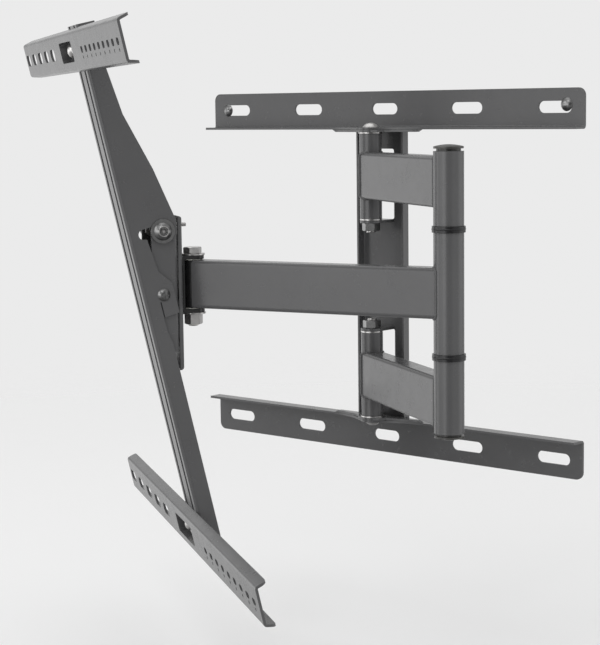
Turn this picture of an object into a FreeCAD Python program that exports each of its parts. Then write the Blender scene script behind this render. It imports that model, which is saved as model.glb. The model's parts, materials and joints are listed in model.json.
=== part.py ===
"""Double arm TV wall mount, as a parametric document in millimetres.

The wall is the plane Y = 0 and the room lies toward -Y. Z is up, and X runs along the wall rails.
Every driving size is a cell of the sheet, and every sketch point is bound to those cells.
"""
import FreeCAD, Part
import math
import os

import Sketcher
from FreeCAD import Placement, Rotation, Vector

SIZES = (
    # Sheet metal and clearances
    ("wall_sheet", 2.5, "thickness of the wall rails and channel"),
    ("bend", 4.0, "outer radius of the folds"),
    ("running_fit", 0.05, "radial gap of a pin in its bush"),
    ("hole_fit", 0.25, "radial gap of a bolt in its hole"),
    ("side_fit", 0.1, "gap beside a face that turns on another"),
    # Wall bracket
    ("rail_length", 506, "each wall rail, end to end"),
    ("rail_inner", 157, "height of the fold line over the middle"),
    ("rail_height", 41, "plate of a wall rail"),
    ("rail_depth", 19, "flange of a wall rail"),
    ("rail_corner", 8, "rounded outer corners"),
    ("tab_half", 60, "half the width of the bulge round the bolt"),
    ("tab_round", 13, "nose of the bulge"),
    ("shoulder_out", 27, "shoulder axis before the wall"),
    ("slot_drop", 19, "wall slots below the outer edge"),
    ("slot_margin", 35, "end wall slots from the rail ends"),
    ("wall_slot_long", 40, "wall slot length"),
    ("middle_slot_long", 35, "middle wall slot length"),
    ("wall_slot_wide", 12, "wall slot width"),
    ("channel_width", 64, "wall channel, outside"),
    ("channel_depth", 12, "wall channel flanges"),
    ("window_width", 25, "window in the channel"),
    ("window_top", 136, "outer end of the window"),
    ("lug_top", 60, "outer face of the pivot lug"),
    ("lug_sheet", 3, "thickness of the pivot lug"),
    ("lug_round", 12, "nose of the pivot lug"),
    ("stud_margin", 21, "end studs from the rail ends"),
    ("stud_head", 7, "radius of the stud head"),
    ("stud_dome", 3.6, "height of the stud head"),
    ("stud_shank", 3.25, "radius of the stud shank"),
    ("stud_lift", 2.5, "right stud above the slot line"),
    ("back_gap", 0.3, "stud end before the wall plane"),
    # Bolts, nuts and washers
    ("bolt_round", 5, "radius of the large bolts"),
    ("dome_round", 9, "radius of the domed bolt heads"),
    ("dome_height", 5, "height of the domed bolt heads"),
    ("nut_flats", 17, "large nuts across the flats"),
    ("nut_height", 8.5, "height of the large nuts"),
    ("lock_nut_height", 11, "height of the locking nut"),
    ("hex_head", 6.7, "height of the hex head"),
    ("bolt_over", 2, "thread past a nut"),
    ("shoulder_washer", 1.5, "thickness of the shoulder washers"),
    ("swivel_washer", 1.6, "thickness of the swivel washers"),
    ("swivel_washer_round", 13, "radius of the swivel washers"),
    # Arms
    ("pivot_round", 12, "radius of the shoulder tubes"),
    ("pivot_bore", 10, "bore radius of the shoulder tubes"),
    ("bush_long", 20, "length of the bushes"),
    ("arm_angle", 30.14, "double arm, turned out from the rails"),
    ("arm_reach", 210, "shoulder axis to elbow axis"),
    ("arm_place", 108, "arm centre over the middle"),
    ("arm_high", 50, "tube height"),
    ("arm_wide", 25, "tube width"),
    ("arm_wall", 2, "tube wall"),
    ("arm_corner", 4, "outer corner radius of the tube"),
    ("post_round", 15, "radius of the post tubes"),
    ("spindle_round", 12.5, "radius of the spindle"),
    ("spindle_bore", 9.5, "bore radius of the spindle"),
    ("post_top", 138, "end of the post tubes"),
    ("post_foot", 65.7, "inner end of the outer post tubes"),
    ("cap_neck", 12, "radius of the cap neck"),
    ("cap_neck_high", 2.5, "height of the cap neck"),
    ("cap_high", 4, "height of the cap disc"),
    ("cap_round", 14.75, "radius of the cap disc"),
    ("cap_plug", 10, "depth of the cap plug"),
    ("middle_half", 59.5, "half the middle post tube"),
    ("middle_bore", 13.5, "bore radius of the middle post tube"),
    ("collar_round", 16.5, "radius of the elbow collars"),
    ("fore_angle", 166.43, "forearm, turned out from the rails"),
    ("fore_reach", 290, "elbow axis to swivel axis"),
    ("swivel_round", 10.5, "radius of the swivel tube"),
    ("swivel_bore", 8, "bore radius of the swivel tube"),
    ("swivel_step", 5.5, "arm end before the swivel axis"),
    # Head
    ("head_angle", 33.33, "head, turned from the wall"),
    ("head_out", 37, "swivel axis to tilt axis"),
    ("head_drop", 8, "tilt axis below the middle"),
    ("bracket_wide", 24, "swivel bracket"),
    ("bracket_sheet", 4, "swivel bracket sheet"),
    ("bracket_gap", 1, "bracket ears beyond the tube ends"),
    ("plate_back", 22, "rear face of the back plate, behind the tilt axis"),
    ("plate_sheet", 3, "back plate sheet"),
    ("plate_edge", 17.2, "flange edges of the back plate, behind the tilt axis"),
    ("plate_half", 22.5, "half the back plate width"),
    ("plate_high", 80, "half the back plate height"),
    ("plate_corner", 4, "rounded rear corners of the back plate"),
    ("web_back", 15.5, "rear face of the tilt bracket, behind the tilt axis"),
    ("level_round", 5, "radius of the level pivot"),
    ("level_head", 8.5, "radius of the countersunk head of the level pivot"),
    ("level_place", 70, "level screw over the tilt axis"),
    ("level_screw_round", 2, "radius of the level screw"),
    ("level_screw_head", 4, "radius of the level screw head"),
    ("level_screw_high", 3, "height of the level screw head"),
    ("level_over", 8.3, "level screw end behind the back plate"),
    ("level_slot", 9.2, "travel slot of the level screw, one side"),
    ("wing_sheet", 2.5, "tilt bracket sheet"),
    ("wing_gap", 0.3, "tilt bracket inside the spine"),
    ("wing_front", 11.5, "wing edge before the tilt axis, and nose radius"),
    ("clamp_place", 65.5, "clamp bolts over the tilt axis"),
    ("wing_foot", 60, "wing end below the tilt axis"),
    ("clamp_head", 9.5, "radius of the clamp bolt heads"),
    ("clamp_dome", 5.2, "height of the clamp bolt heads"),
    ("socket_flats", 6, "socket of the clamp bolts"),
    ("clamp_washer", 12.5, "radius of the clamp washers"),
    ("clamp_washer_thick", 1.6, "thickness of the clamp washers"),
    ("screw_round", 4, "radius of the pivot screws"),
    ("screw_head", 6.6, "radius of the pivot screw heads"),
    ("screw_dome", 3.4, "height of the pivot screw heads"),
    ("screw_nut_flats", 13, "pivot screw nuts across the flats"),
    ("screw_nut_height", 6.5, "height of the pivot screw nuts"),
    # Tilt frame
    ("tilt_angle", 12.65, "spine, tilted forward"),
    ("tilt_forward", 15, "tilt travel, forward"),
    ("tilt_back", 5, "tilt travel, back"),
    ("spine_wide", 60, "spine, outside"),
    ("spine_sheet", 2.5, "spine sheet"),
    ("spine_front", 21.5, "spine front face before the tilt axis"),
    ("spine_edge", 2.5, "spine wall edge before the tilt axis"),
    ("spine_top", 286, "spine end over the tilt axis"),
    ("spine_foot", 272, "spine end below the tilt axis"),
    ("ear_back", 11.5, "rear edge of the ear, behind the tilt axis"),
    ("ear_low", 23.2, "end of the ear, below the tilt axis"),
    ("ear_slant", 1.5, "rise of the lower edge of the ear"),
    ("ear_shoulder", 10, "rear corner of the ear, over the tilt axis"),
    ("ear_top", 25, "upper corner of the ear, over the tilt axis"),
    ("slit_front", 5.5, "slit beside the ear, before the tilt axis"),
    ("slit_wide", 1.2, "width of the slit"),
    ("slit_foot", 36, "wall under the slit, below the tilt axis"),
    ("wall_foot", 52.4, "plain wall edge, below the tilt axis"),
    ("notch_front", 3.4, "notch edge, before the tilt axis"),
    ("notch_drop", 6.2, "notch edge under the clamp bolt"),
    ("hook_back", 8, "hook end behind the arc slot"),
    ("hook_drop", 14.4, "hook end under the clamp bolt"),
    ("crest_back", 30, "widest place of the spine wall, behind the tilt axis"),
    ("crest_rise", 9, "widest place over the clamp bolt"),
    ("taper_back", 19.7, "first corner of the taper, behind the tilt axis"),
    ("taper_high", 128, "first corner of the taper, over the tilt axis"),
    ("neck_back", 2.9, "second corner of the taper, behind the tilt axis"),
    ("neck_high", 189, "second corner of the taper, over the tilt axis"),
    ("taper_end", 240, "end of the taper, over the tilt axis"),
    ("groove_place", 15, "grooves from the middle"),
    ("groove_wide", 9, "groove width"),
    ("groove_deep", 1, "groove depth"),
    ("groove_slot_long", 25, "slot length in the groove"),
    ("groove_slot_wide", 7, "slot width in the groove"),
    ("clamp_slot_wide", 10.5, "arc slot width"),
    ("screen_length", 640, "screen rail, end to end"),
    ("screen_sheet", 2.5, "screen rail sheet"),
    ("screen_high", 38, "screen rail web"),
    ("screen_deep", 11.5, "screen rail depth"),
    ("screen_splay", 3.1, "flange edge beyond the web"),
    ("screen_bend", 3.5, "outer radius of the screen rail folds"),
    ("screen_corner", 5, "rounded flange corners"),
    ("top_margin", 25, "top screen rail from the spine end"),
    ("foot_margin", 19, "bottom screen rail from the spine end"),
    ("large_slot_long", 30, "large screen slots"),
    ("large_slot_wide", 12.5, "large screen slots"),
    ("large_pitch", 50, "pitch of the large slots"),
    ("small_slot_long", 12, "narrow screen slots"),
    ("small_slot_wide", 6.5, "narrow screen slots"),
    ("small_pitch", 25, "pitch of the narrow slots"),
    ("slot_start", 100, "first screen slot from the middle"),
    ("pin_hole", 1.8, "radius of the small holes"),
    ("pin_hole_drop", 7.5, "small holes below the slots"),
    ("pocket_long", 79, "bolt pocket, inside"),
    ("pocket_high", 21, "bolt pocket, inside"),
    ("carriage_round", 3.3, "radius of the rail bolts"),
    ("carriage_head", 8, "radius of the rail bolt heads"),
    ("carriage_dome", 5.5, "height of the rail bolt heads"),
    ("carriage_washer", 8.5, "radius of the rail bolt washers"),
    ("carriage_washer_thick", 1.5, "thickness of the rail bolt washers"),
    ("carriage_nut_flats", 11, "rail bolt nuts across the flats"),
    ("carriage_nut_height", 5.5, "height of the rail bolt nuts"),
)
LARGE_SLOTS = 5
SMALL_SLOTS = 9
GROOVE_SLOTS = 14


class Size:
    """A number together with the sheet expression that gives it."""

    def __init__(self, value, text):
        self.value = float(value)
        self.text = text

    def __add__(self, other):
        other = sized(other)
        return Size(self.value + other.value, f"({self.text} + {other.text})")

    def __radd__(self, other):
        return sized(other) + self

    def __sub__(self, other):
        other = sized(other)
        return Size(self.value - other.value, f"({self.text} - {other.text})")

    def __rsub__(self, other):
        return sized(other) - self

    def __mul__(self, other):
        other = sized(other)
        return Size(self.value * other.value, f"({self.text} * {other.text})")

    def __rmul__(self, other):
        return sized(other) * self

    def __truediv__(self, other):
        other = sized(other)
        return Size(self.value / other.value, f"({self.text} / {other.text})")

    def __neg__(self):
        return Size(-self.value, f"(0 - {self.text})")


def sized(number):
    """Return the number as a Size."""
    return number if isinstance(number, Size) else Size(number, f"({number!r})")


def cosine(angle):
    """Cosine of an angle in degrees."""
    return Size(math.cos(math.radians(angle.value)), f"cos({angle.text})")


def sine(angle):
    """Sine of an angle in degrees."""
    return Size(math.sin(math.radians(angle.value)), f"sin({angle.text})")


def root(number):
    """Square root of a Size."""
    return Size(math.sqrt(number.value), f"sqrt({number.text})")


doc = FreeCAD.newDocument("double_arm_tv_wall_mount")
sheet = doc.addObject("Spreadsheet::Sheet", "Sizes")
for row, (alias, number, note) in enumerate(SIZES, start=1):
    sheet.set(f"A{row}", alias)
    sheet.set(f"B{row}", str(number))
    sheet.setAlias(f"B{row}", alias)
    sheet.set(f"C{row}", note)
doc.recompute()


class Sheet:
    """The sheet's cells as Size attributes."""


size = Sheet()
for alias, number, note in SIZES:
    setattr(size, alias, Size(number, f"Sizes.{alias}"))


class Frame:
    """A place and turn, bound to the sheet, that bodies are built in."""

    def __init__(self, x=0, y=0, z=0, turn=0, tilt=0):
        self.base = [sized(part) for part in (x, y, z)]
        self.turn = sized(turn)
        self.tilt = sized(tilt)

    def hold(self, body):
        """Bind the placement of a body to this frame."""
        base = ";".join(part.text for part in self.base)
        turn = f"rotation({self.turn.text};0;{self.tilt.text})"
        body.setExpression("Placement", f"placement(vector({base});{turn})")


elbow_x = size.arm_reach * cosine(size.arm_angle)
elbow_y = -size.shoulder_out - size.arm_reach * sine(size.arm_angle)
swivel_x = elbow_x + size.fore_reach * cosine(size.fore_angle)
swivel_y = elbow_y - size.fore_reach * sine(size.fore_angle)
tilt_x = swivel_x - size.head_out * sine(size.head_angle)
tilt_y = swivel_y - size.head_out * cosine(size.head_angle)

WALL = Frame()
SHOULDER = Frame(y=-size.shoulder_out)
ARM = Frame(y=-size.shoulder_out, turn=-size.arm_angle)
POST = Frame(elbow_x, elbow_y, turn=-size.arm_angle)
FOREARM = Frame(elbow_x, elbow_y, turn=-size.fore_angle)
SWIVEL = Frame(swivel_x, swivel_y, turn=-size.head_angle)
SWIVEL_TUBE = Frame(swivel_x, swivel_y, turn=-size.fore_angle)
HEAD = Frame(tilt_x, tilt_y, -size.head_drop, turn=-size.head_angle)
TILT = Frame(tilt_x, tilt_y, -size.head_drop, turn=-size.head_angle, tilt=size.tilt_angle)


class Sketch:
    """A sketch on an origin plane of a body, drawn from sheet sizes."""

    def __init__(self, body, plane, lift=0, across=0, along=0):
        self.item = body.newObject("Sketcher::SketchObject", "Sketch")
        face = next(f for f in body.Origin.OriginFeatures if f.Role == f"{plane}_Plane")
        self.item.AttachmentSupport = [(face, "")]
        self.item.MapMode = "FlatFace"
        base = [sized(part) for part in (across, along, lift)]
        self.item.AttachmentOffset = Placement(Vector(*(part.value for part in base)), Rotation())
        for axis, part in zip("xyz", base):
            self.item.setExpression(f"AttachmentOffset.Base.{axis}", part.text)
        self.bound = []
        self.rules = []

    def pin(self, curve, point, place, axes="XY"):
        """Bind one point of a curve to its place."""
        for axis, part in zip("XY", place):
            if axis in axes:
                part = sized(part)
                rule = Sketcher.Constraint(f"Distance{axis}", -1, 1, curve, point, part.value)
                self.bound.append((len(self.rules), part.text))
                self.rules.append(rule)

    def loop(self, *corners):
        """Draw a closed outline; a corner (x, y, cx, cy, turn) ends an arc round (cx, cy)."""
        first = self.item.GeometryCount
        count = len(corners)
        points = [tuple(sized(part).value for part in corner[:4]) for corner in corners]
        ends = []
        for index, corner in enumerate(corners):
            start = Vector(*points[index - 1][:2], 0)
            stop = Vector(*points[index][:2], 0)
            if len(corner) == 2:
                self.item.addGeometry(Part.LineSegment(start, stop), False)
                ends.append((1, 2))
                continue
            centre = Vector(*points[index][2:4], 0)
            low, high = (start, stop) if corner[4] > 0 else (stop, start)
            angles = [math.atan2((v - centre).y, (v - centre).x) for v in (low, high)]
            circle = Part.Circle(centre, Vector(0, 0, 1), (low - centre).Length)
            self.item.addGeometry(Part.ArcOfCircle(circle, *angles), False)
            ends.append((1, 2) if corner[4] > 0 else (2, 1))
            chord = stop - start
            axis = "X" if abs(chord.y) > abs(chord.x) else "Y"
            self.pin(first + index, 3, corner[2:4], axis)
        for index, corner in enumerate(corners):
            curve = first + index
            self.pin(curve, ends[index][1], corner[:2])
            following = (index + 1) % count
            link = (curve, ends[index][1], first + following, ends[following][0])
            self.rules.append(Sketcher.Constraint("Coincident", *link))
        return self

    def box(self, left, right, low, high, round_off=None):
        """Draw a rectangle, with rounded corners if a radius is given."""
        if round_off is None:
            return self.loop((left, low), (right, low), (right, high), (left, high))
        a, b = left + round_off, right - round_off
        c, d = low + round_off, high - round_off
        return self.loop(
            (b, low), (right, c, b, c, 1), (right, d), (b, high, b, d, 1),
            (a, high), (left, d, a, d, 1), (left, c), (a, low, a, c, 1))

    def slot(self, x, y, length, width):
        """Draw a slot along the sketch's first axis."""
        half = width / 2
        a, b = x - length / 2 + half, x + length / 2 - half
        return self.loop((b, y - half), (b, y + half, b, y, 1), (a, y + half), (a, y - half, a, y, 1))

    def upright_slot(self, x, y, length, width):
        """Draw a slot along the sketch's second axis."""
        half = width / 2
        a, b = y - length / 2 + half, y + length / 2 - half
        return self.loop((x + half, b), (x - half, b, x, b, 1), (x - half, a), (x + half, a, x, a, 1))

    def circle(self, x, y, radius):
        """Draw a circle."""
        x, y, radius = sized(x), sized(y), sized(radius)
        ring = Part.Circle(Vector(x.value, y.value, 0), Vector(0, 0, 1), radius.value)
        curve = self.item.addGeometry(ring, False)
        self.pin(curve, 3, (x, y))
        self.bound.append((len(self.rules), radius.text))
        self.rules.append(Sketcher.Constraint("Radius", curve, radius.value))
        return self

    def hexagon(self, x, y, flats):
        """Draw a hexagon with two flats upright."""
        half = flats / 2
        tip = flats / math.sqrt(3)
        return self.loop(
            (x + half, y - tip / 2), (x + half, y + tip / 2), (x, y + tip),
            (x - half, y + tip / 2), (x - half, y - tip / 2), (x, y - tip))

    def done(self):
        """Hand all constraints to the sketch and return it."""
        self.item.addConstraint(self.rules)
        for index, text in self.bound:
            self.item.setExpression(f"Constraints[{index}]", text)
        return self.item


class Piece:
    """One body of the document, placed in a frame."""

    def __init__(self, name, frame):
        self.body = doc.addObject("PartDesign::Body", name)
        self.body.Label = name
        self.body.AllowCompound = True
        frame.hold(self.body)

    def sketch(self, plane, lift=0, across=0, along=0):
        """Start a sketch in this piece."""
        return Sketch(self.body, plane, lift, across, along)

    def sweep(self, kind, sketch, length=None, both=False, back=False):
        """Add a pad or pocket of a sketch; no length cuts through everything."""
        feature = self.body.newObject(f"PartDesign::{kind}", kind)
        feature.Profile = sketch.done()
        if length is None:
            feature.Type = "ThroughAll"
        else:
            length = sized(length)
            feature.Length = length.value
            feature.setExpression("Length", length.text)
        if both:
            feature.SideType = "Symmetric"
        feature.Reversed = back
        sketch.item.Visibility = False
        return self

    def pad(self, sketch, length, both=False, back=False):
        """Add material."""
        return self.sweep("Pad", sketch, length, both, back)

    def cut(self, sketch, length=None, both=True, back=False):
        """Take material away."""
        return self.sweep("Pocket", sketch, length, both, back)

    def repeat(self, sketch, axis, spacing, count, back=False):
        """Cut a sketch through everything, then repeat it along an axis of its sketch."""
        self.cut(sketch)
        cut = self.body.Tip
        doc.recompute()
        pattern = self.body.newObject("PartDesign::LinearPattern", "Pattern")
        pattern.Originals = [cut]
        pattern.Direction = (sketch.item, [axis])
        pattern.Mode = "Spacing"
        spacing = sized(spacing)
        pattern.Offset = spacing.value
        pattern.setExpression("Offset", spacing.text)
        pattern.Occurrences = count
        pattern.Reversed = back
        self.body.Tip = pattern
        return self

    def turn(self, kind, sketch, axis="V_Axis"):
        """Add or cut a turned form round an axis of its sketch."""
        feature = self.body.newObject(f"PartDesign::{kind}", kind)
        feature.Profile = sketch.done()
        feature.ReferenceAxis = (sketch.item, [axis])
        feature.Angle = 360
        return self


PARTS = []


def keep(piece):
    """List a finished piece for the parts folder."""
    PARTS.append(piece.body if isinstance(piece, Piece) else piece)
    return piece


def group(name, pieces):
    """Gather like pieces in one node."""
    item = doc.addObject("Part::Compound", name)
    item.Label = name
    item.Links = [piece.body for piece in pieces]
    return keep(item)


def dome(bottom, top, radius):
    """Return the circle centre height of a dome between two heights."""
    rise = top - bottom
    return top - (radius * radius + rise * rise) / (2 * rise)


# Wall bracket


def wall_rail(name, side):
    """A slotted plate with its flange and the bulge round the bolt; side is 1 on top, -1 below."""
    half = size.rail_length / 2
    sheet_t = size.wall_sheet
    fold = size.rail_inner
    outer = fold + size.rail_height
    bend_end = fold + size.bend
    corner = size.rail_corner
    piece = Piece(name, WALL)
    plate = piece.sketch("XZ")
    plate.loop(
        (-half, side * bend_end), (half, side * bend_end), (half, side * (outer - corner)),
        (half - corner, side * outer, half - corner, side * (outer - corner), side),
        (-half + corner, side * outer),
        (-half, side * (outer - corner), -half + corner, side * (outer - corner), side))
    line = side * (outer - size.slot_drop)
    spacing = (half - size.slot_margin) / 2
    for step in (-2, -1, 0, 1, 2):
        length = size.wall_slot_long if step else size.middle_slot_long
        plate.slot(step * spacing, line, length, size.wall_slot_wide)
    piece.pad(plate, sheet_t)
    radius = size.bend
    flange = piece.sketch("YZ")
    flange.loop(
        (-sheet_t, side * bend_end),
        (-radius, side * (fold + sheet_t), -radius, side * bend_end, -side),
        (-size.rail_depth, side * (fold + sheet_t)), (-size.rail_depth, side * fold),
        (-radius, side * fold), (0, side * bend_end, -radius, side * bend_end, side))
    piece.pad(flange, size.rail_length, both=True)
    reach = size.shoulder_out - size.rail_depth
    nose = size.tab_round
    wide = size.tab_half
    sweep = (wide * wide + reach * reach - nose * nose) / (2 * (nose + reach))
    share = nose / (nose + sweep)
    touch_x = wide * share
    touch_y = -size.shoulder_out + (reach - sweep) * share
    bulge = piece.sketch("XY", lift=side * fold)
    edge = -size.rail_depth
    bulge.loop(
        (-wide, edge + radius), (wide, edge + radius), (wide, edge),
        (touch_x, touch_y, wide, edge - sweep, 1),
        (-touch_x, touch_y, 0, -size.shoulder_out, -1),
        (-wide, edge, -wide, edge - sweep, 1))
    piece.pad(bulge, sheet_t, back=side < 0)
    hole = piece.sketch("XY").circle(0, -size.shoulder_out, size.bolt_round + size.hole_fit)
    piece.cut(hole)
    return keep(piece)


def wall_channel():
    """The upright channel with its windows and folded lugs."""
    half = size.channel_width / 2
    sheet_t = size.wall_sheet
    radius = size.bend
    inner = radius - sheet_t
    piece = Piece("wall_channel", WALL)
    section = piece.sketch("XY")
    deep = -size.channel_depth
    section.loop(
        (half - radius, 0), (half, -radius, half - radius, -radius, -1),
        (half, deep), (half - sheet_t, deep), (half - sheet_t, -radius),
        (half - radius, -radius + inner, half - radius, -radius, 1),
        (-half + radius, -radius + inner),
        (-half + sheet_t, -radius, -half + radius, -radius, 1),
        (-half + sheet_t, deep), (-half, deep), (-half, -radius),
        (-half + radius, 0, -half + radius, -radius, -1))
    piece.pad(section, 2 * size.rail_inner, both=True)
    windows = piece.sketch("XZ")
    side = size.window_width / 2
    for way in (-1, 1):
        ends = sorted((way * size.lug_top, way * size.window_top), key=lambda end: end.value)
        windows.box(-side, side, ends[0], ends[1], size.wall_sheet)
    piece.cut(windows)
    nose = size.lug_round
    axis = -size.shoulder_out
    for way in (-1, 1):
        lug = piece.sketch("XY", lift=way * size.lug_top)
        lug.loop((nose, -sheet_t / 2), (-nose, -sheet_t / 2), (-nose, axis), (nose, axis, 0, axis, 1))
        lug.circle(0, axis, size.bolt_round + size.hole_fit)
        piece.pad(lug, size.lug_sheet, back=way > 0)
    return keep(piece)


def end_stud(name, side):
    """A dome-headed stud in an end slot of the top rail."""
    line = size.rail_inner + size.rail_height - size.slot_drop
    lift = size.stud_lift if side > 0 else sized(0)
    piece = Piece(name, Frame(side * (size.rail_length / 2 - size.stud_margin), 0, line + lift))
    face = -size.wall_sheet
    crown = face - size.stud_dome
    centre = -dome(-face, -crown, size.stud_head)
    profile = piece.sketch("XY")
    profile.loop(
        (0, -size.back_gap), (0, crown), (size.stud_head, face, 0, centre, 1),
        (size.stud_shank, face), (size.stud_shank, -size.back_gap))
    return piece.turn("Revolution", profile)


def turned(name, frame, *loops):
    """A piece turned round the frame's Z axis from outlines of (radius, height)."""
    piece = Piece(name, frame)
    profile = piece.sketch("XZ")
    for outline in loops:
        profile.loop(*outline)
    return piece.turn("Revolution", profile)


def ring(inner, outer, low, high):
    """Outline of a ring."""
    return ((inner, low), (outer, low), (outer, high), (inner, high))


CHAMFER_PLANES = {"XY": ("XZ", "V_Axis", 1), "XZ": ("XY", "V_Axis", -1), "YZ": ("XY", "H_Axis", 1)}


def nut(name, frame, plane, flats, start, height, bore, side, across=0, along=0):
    """A hex nut along the normal of a plane, with chamfered corners at both ends."""
    piece = Piece(name, frame)
    outline = piece.sketch(plane, side * start, across, along)
    outline.hexagon(sized(0), sized(0), flats).circle(0, 0, bore)
    piece.pad(outline, height, back=side < 0)
    host, axis, normal = CHAMFER_PLANES[plane]
    rim = flats / 2
    tip = flats / math.sqrt(3) + 1
    rise = (tip - rim) / math.sqrt(3)
    way = side * normal
    chamfer = piece.sketch(host, lift=along, across=across)
    for end, outward in ((way * start, -way), (way * (start + height), way)):
        corners = ((rim, end), (tip, end), (tip, end - outward * rise))
        chamfer.loop(*(corners if axis == "V_Axis" else ((high, wide) for wide, high in corners)))
    return piece.turn("Groove", chamfer, axis)


def shoulder_bolt(name, side):
    """The bolt of one shoulder pivot, head on the rail flange."""
    seat = size.rail_inner + size.wall_sheet
    tail = size.lug_top - size.lug_sheet - size.nut_height - size.bolt_over
    crown = seat + size.dome_height
    centre = dome(seat, crown, size.dome_round)
    shank = size.bolt_round
    outline = (
        (0, side * tail), (shank - 1, side * tail), (shank, side * (tail + 1)), (shank, side * seat),
        (size.dome_round, side * seat), (0, side * crown, 0, side * centre, side))
    return keep(turned(name, SHOULDER, outline))


wall_rail("top_wall_rail", 1)
wall_rail("bottom_wall_rail", -1)
wall_channel()
group("end_slot_studs", [end_stud("left_stud", -1), end_stud("right_stud", 1)])
shoulder_bolt("upper_shoulder_bolt", 1)
shoulder_bolt("lower_shoulder_bolt", -1)
nut_end = size.lug_top - size.lug_sheet - size.nut_height
for name, side in (("upper_shoulder_nut", 1), ("lower_shoulder_nut", -1)):
    keep(nut(name, SHOULDER, "XY", size.nut_flats, nut_end, size.nut_height, size.bolt_round, side))
washer_hole = size.bolt_round + size.hole_fit
low_washer = size.lug_top + size.shoulder_washer
high_washer = size.rail_inner - size.shoulder_washer
keep(turned(
    "shoulder_washers", SHOULDER,
    *(ring(washer_hole, size.pivot_round, side * low, side * high)
      for side in (-1, 1) for low, high in ((size.lug_top, low_washer), (high_washer, size.rail_inner)))))

# Double arm

tube_low = low_washer + size.side_fit
tube_high = high_washer - size.side_fit


def arm_tube(name, frame, height, reach, near, far, near_cut, far_cut):
    """A rectangular tube along X, coped to the round tubes at its two ends."""
    half = size.arm_wide / 2
    tall = size.arm_high / 2
    wall = size.arm_wall
    piece = Piece(name, frame)
    section = piece.sketch("YZ", lift=near, along=height)
    section.box(-half, half, -tall, tall, size.arm_corner)
    section.box(-half + wall, half - wall, -tall + wall, tall - wall, size.arm_corner - wall)
    piece.pad(section, far - near)
    cope = piece.sketch("XY")
    cope.circle(0, 0, near_cut).circle(reach, 0, far_cut)
    piece.cut(cope)
    return keep(piece)


for name, side in (("upper_arm", 1), ("lower_arm", -1)):
    arm_tube(name, ARM, side * size.arm_place, size.arm_reach, sized(0),
             size.arm_reach - size.post_round / 2, size.pivot_round, size.post_round)
for name, side in (("upper_pivot_tube", 1), ("lower_pivot_tube", -1)):
    keep(turned(name, SHOULDER, ring(size.pivot_bore, size.pivot_round, side * tube_low, side * tube_high)))
bush_bore = size.bolt_round + size.running_fit
keep(turned(
    "shoulder_bushes", SHOULDER,
    *(ring(bush_bore, size.pivot_bore, side * low, side * high)
      for side in (-1, 1)
      for low, high in ((tube_low, tube_low + size.bush_long), (tube_high - size.bush_long, tube_high)))))
for name, side in (("upper_post_tube", 1), ("lower_post_tube", -1)):
    keep(turned(name, POST,
                ring(size.spindle_round, size.post_round, side * size.post_foot, side * size.post_top)))
keep(turned("post_spindle", POST,
            ring(size.spindle_bore, size.spindle_round, -size.post_top, size.post_top)))


def post_cap(name, side):
    """A plug, neck and domed disc at one end of the post."""
    neck = size.post_top + size.cap_neck_high
    crown = neck + size.cap_high
    rim = neck + size.cap_high / 2
    centre = dome(rim, crown, size.cap_round)
    plug = size.post_top - size.cap_plug
    outline = (
        (0, side * plug), (size.spindle_bore, side * plug), (size.spindle_bore, side * size.post_top),
        (size.cap_neck, side * size.post_top), (size.cap_neck, side * neck),
        (size.cap_round, side * neck), (size.cap_round, side * rim), (0, side * crown, 0, side * centre, side))
    return keep(turned(name, POST, outline))


post_cap("top_post_cap", 1)
post_cap("bottom_post_cap", -1)

# Forearm

keep(turned("post_middle_tube", FOREARM,
            ring(size.middle_bore, size.post_round, -size.middle_half, size.middle_half)))
for name, side in (("upper_elbow_bush", 1), ("lower_elbow_bush", -1)):
    bore = size.spindle_round + size.running_fit
    top = size.post_foot - size.side_fit
    keep(turned(name, FOREARM, (
        (bore, side * (size.middle_half - size.bush_long)),
        (size.middle_bore, side * (size.middle_half - size.bush_long)),
        (size.middle_bore, side * size.middle_half), (size.collar_round, side * size.middle_half),
        (size.collar_round, side * top), (bore, side * top))))
arm_tube("middle_arm", FOREARM, sized(0), size.fore_reach, size.post_round / 2,
         size.fore_reach - size.swivel_step, size.post_round, size.swivel_round)
tube_end = size.arm_high / 2
keep(turned("swivel_tube", SWIVEL_TUBE, ring(size.swivel_bore, size.swivel_round, -tube_end, tube_end)))
bush_rim = tube_end + size.bracket_gap - size.side_fit
keep(turned("swivel_bushes", SWIVEL_TUBE, *(
    ((bush_bore, side * (tube_end - size.bush_long)), (size.swivel_bore, side * (tube_end - size.bush_long)),
     (size.swivel_bore, side * tube_end), (size.swivel_round, side * tube_end),
     (size.swivel_round, side * bush_rim), (bush_bore, side * bush_rim)) for side in (-1, 1))))

# Swivel head

ear_in = tube_end + size.bracket_gap
ear_out = ear_in + size.bracket_sheet


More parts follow.
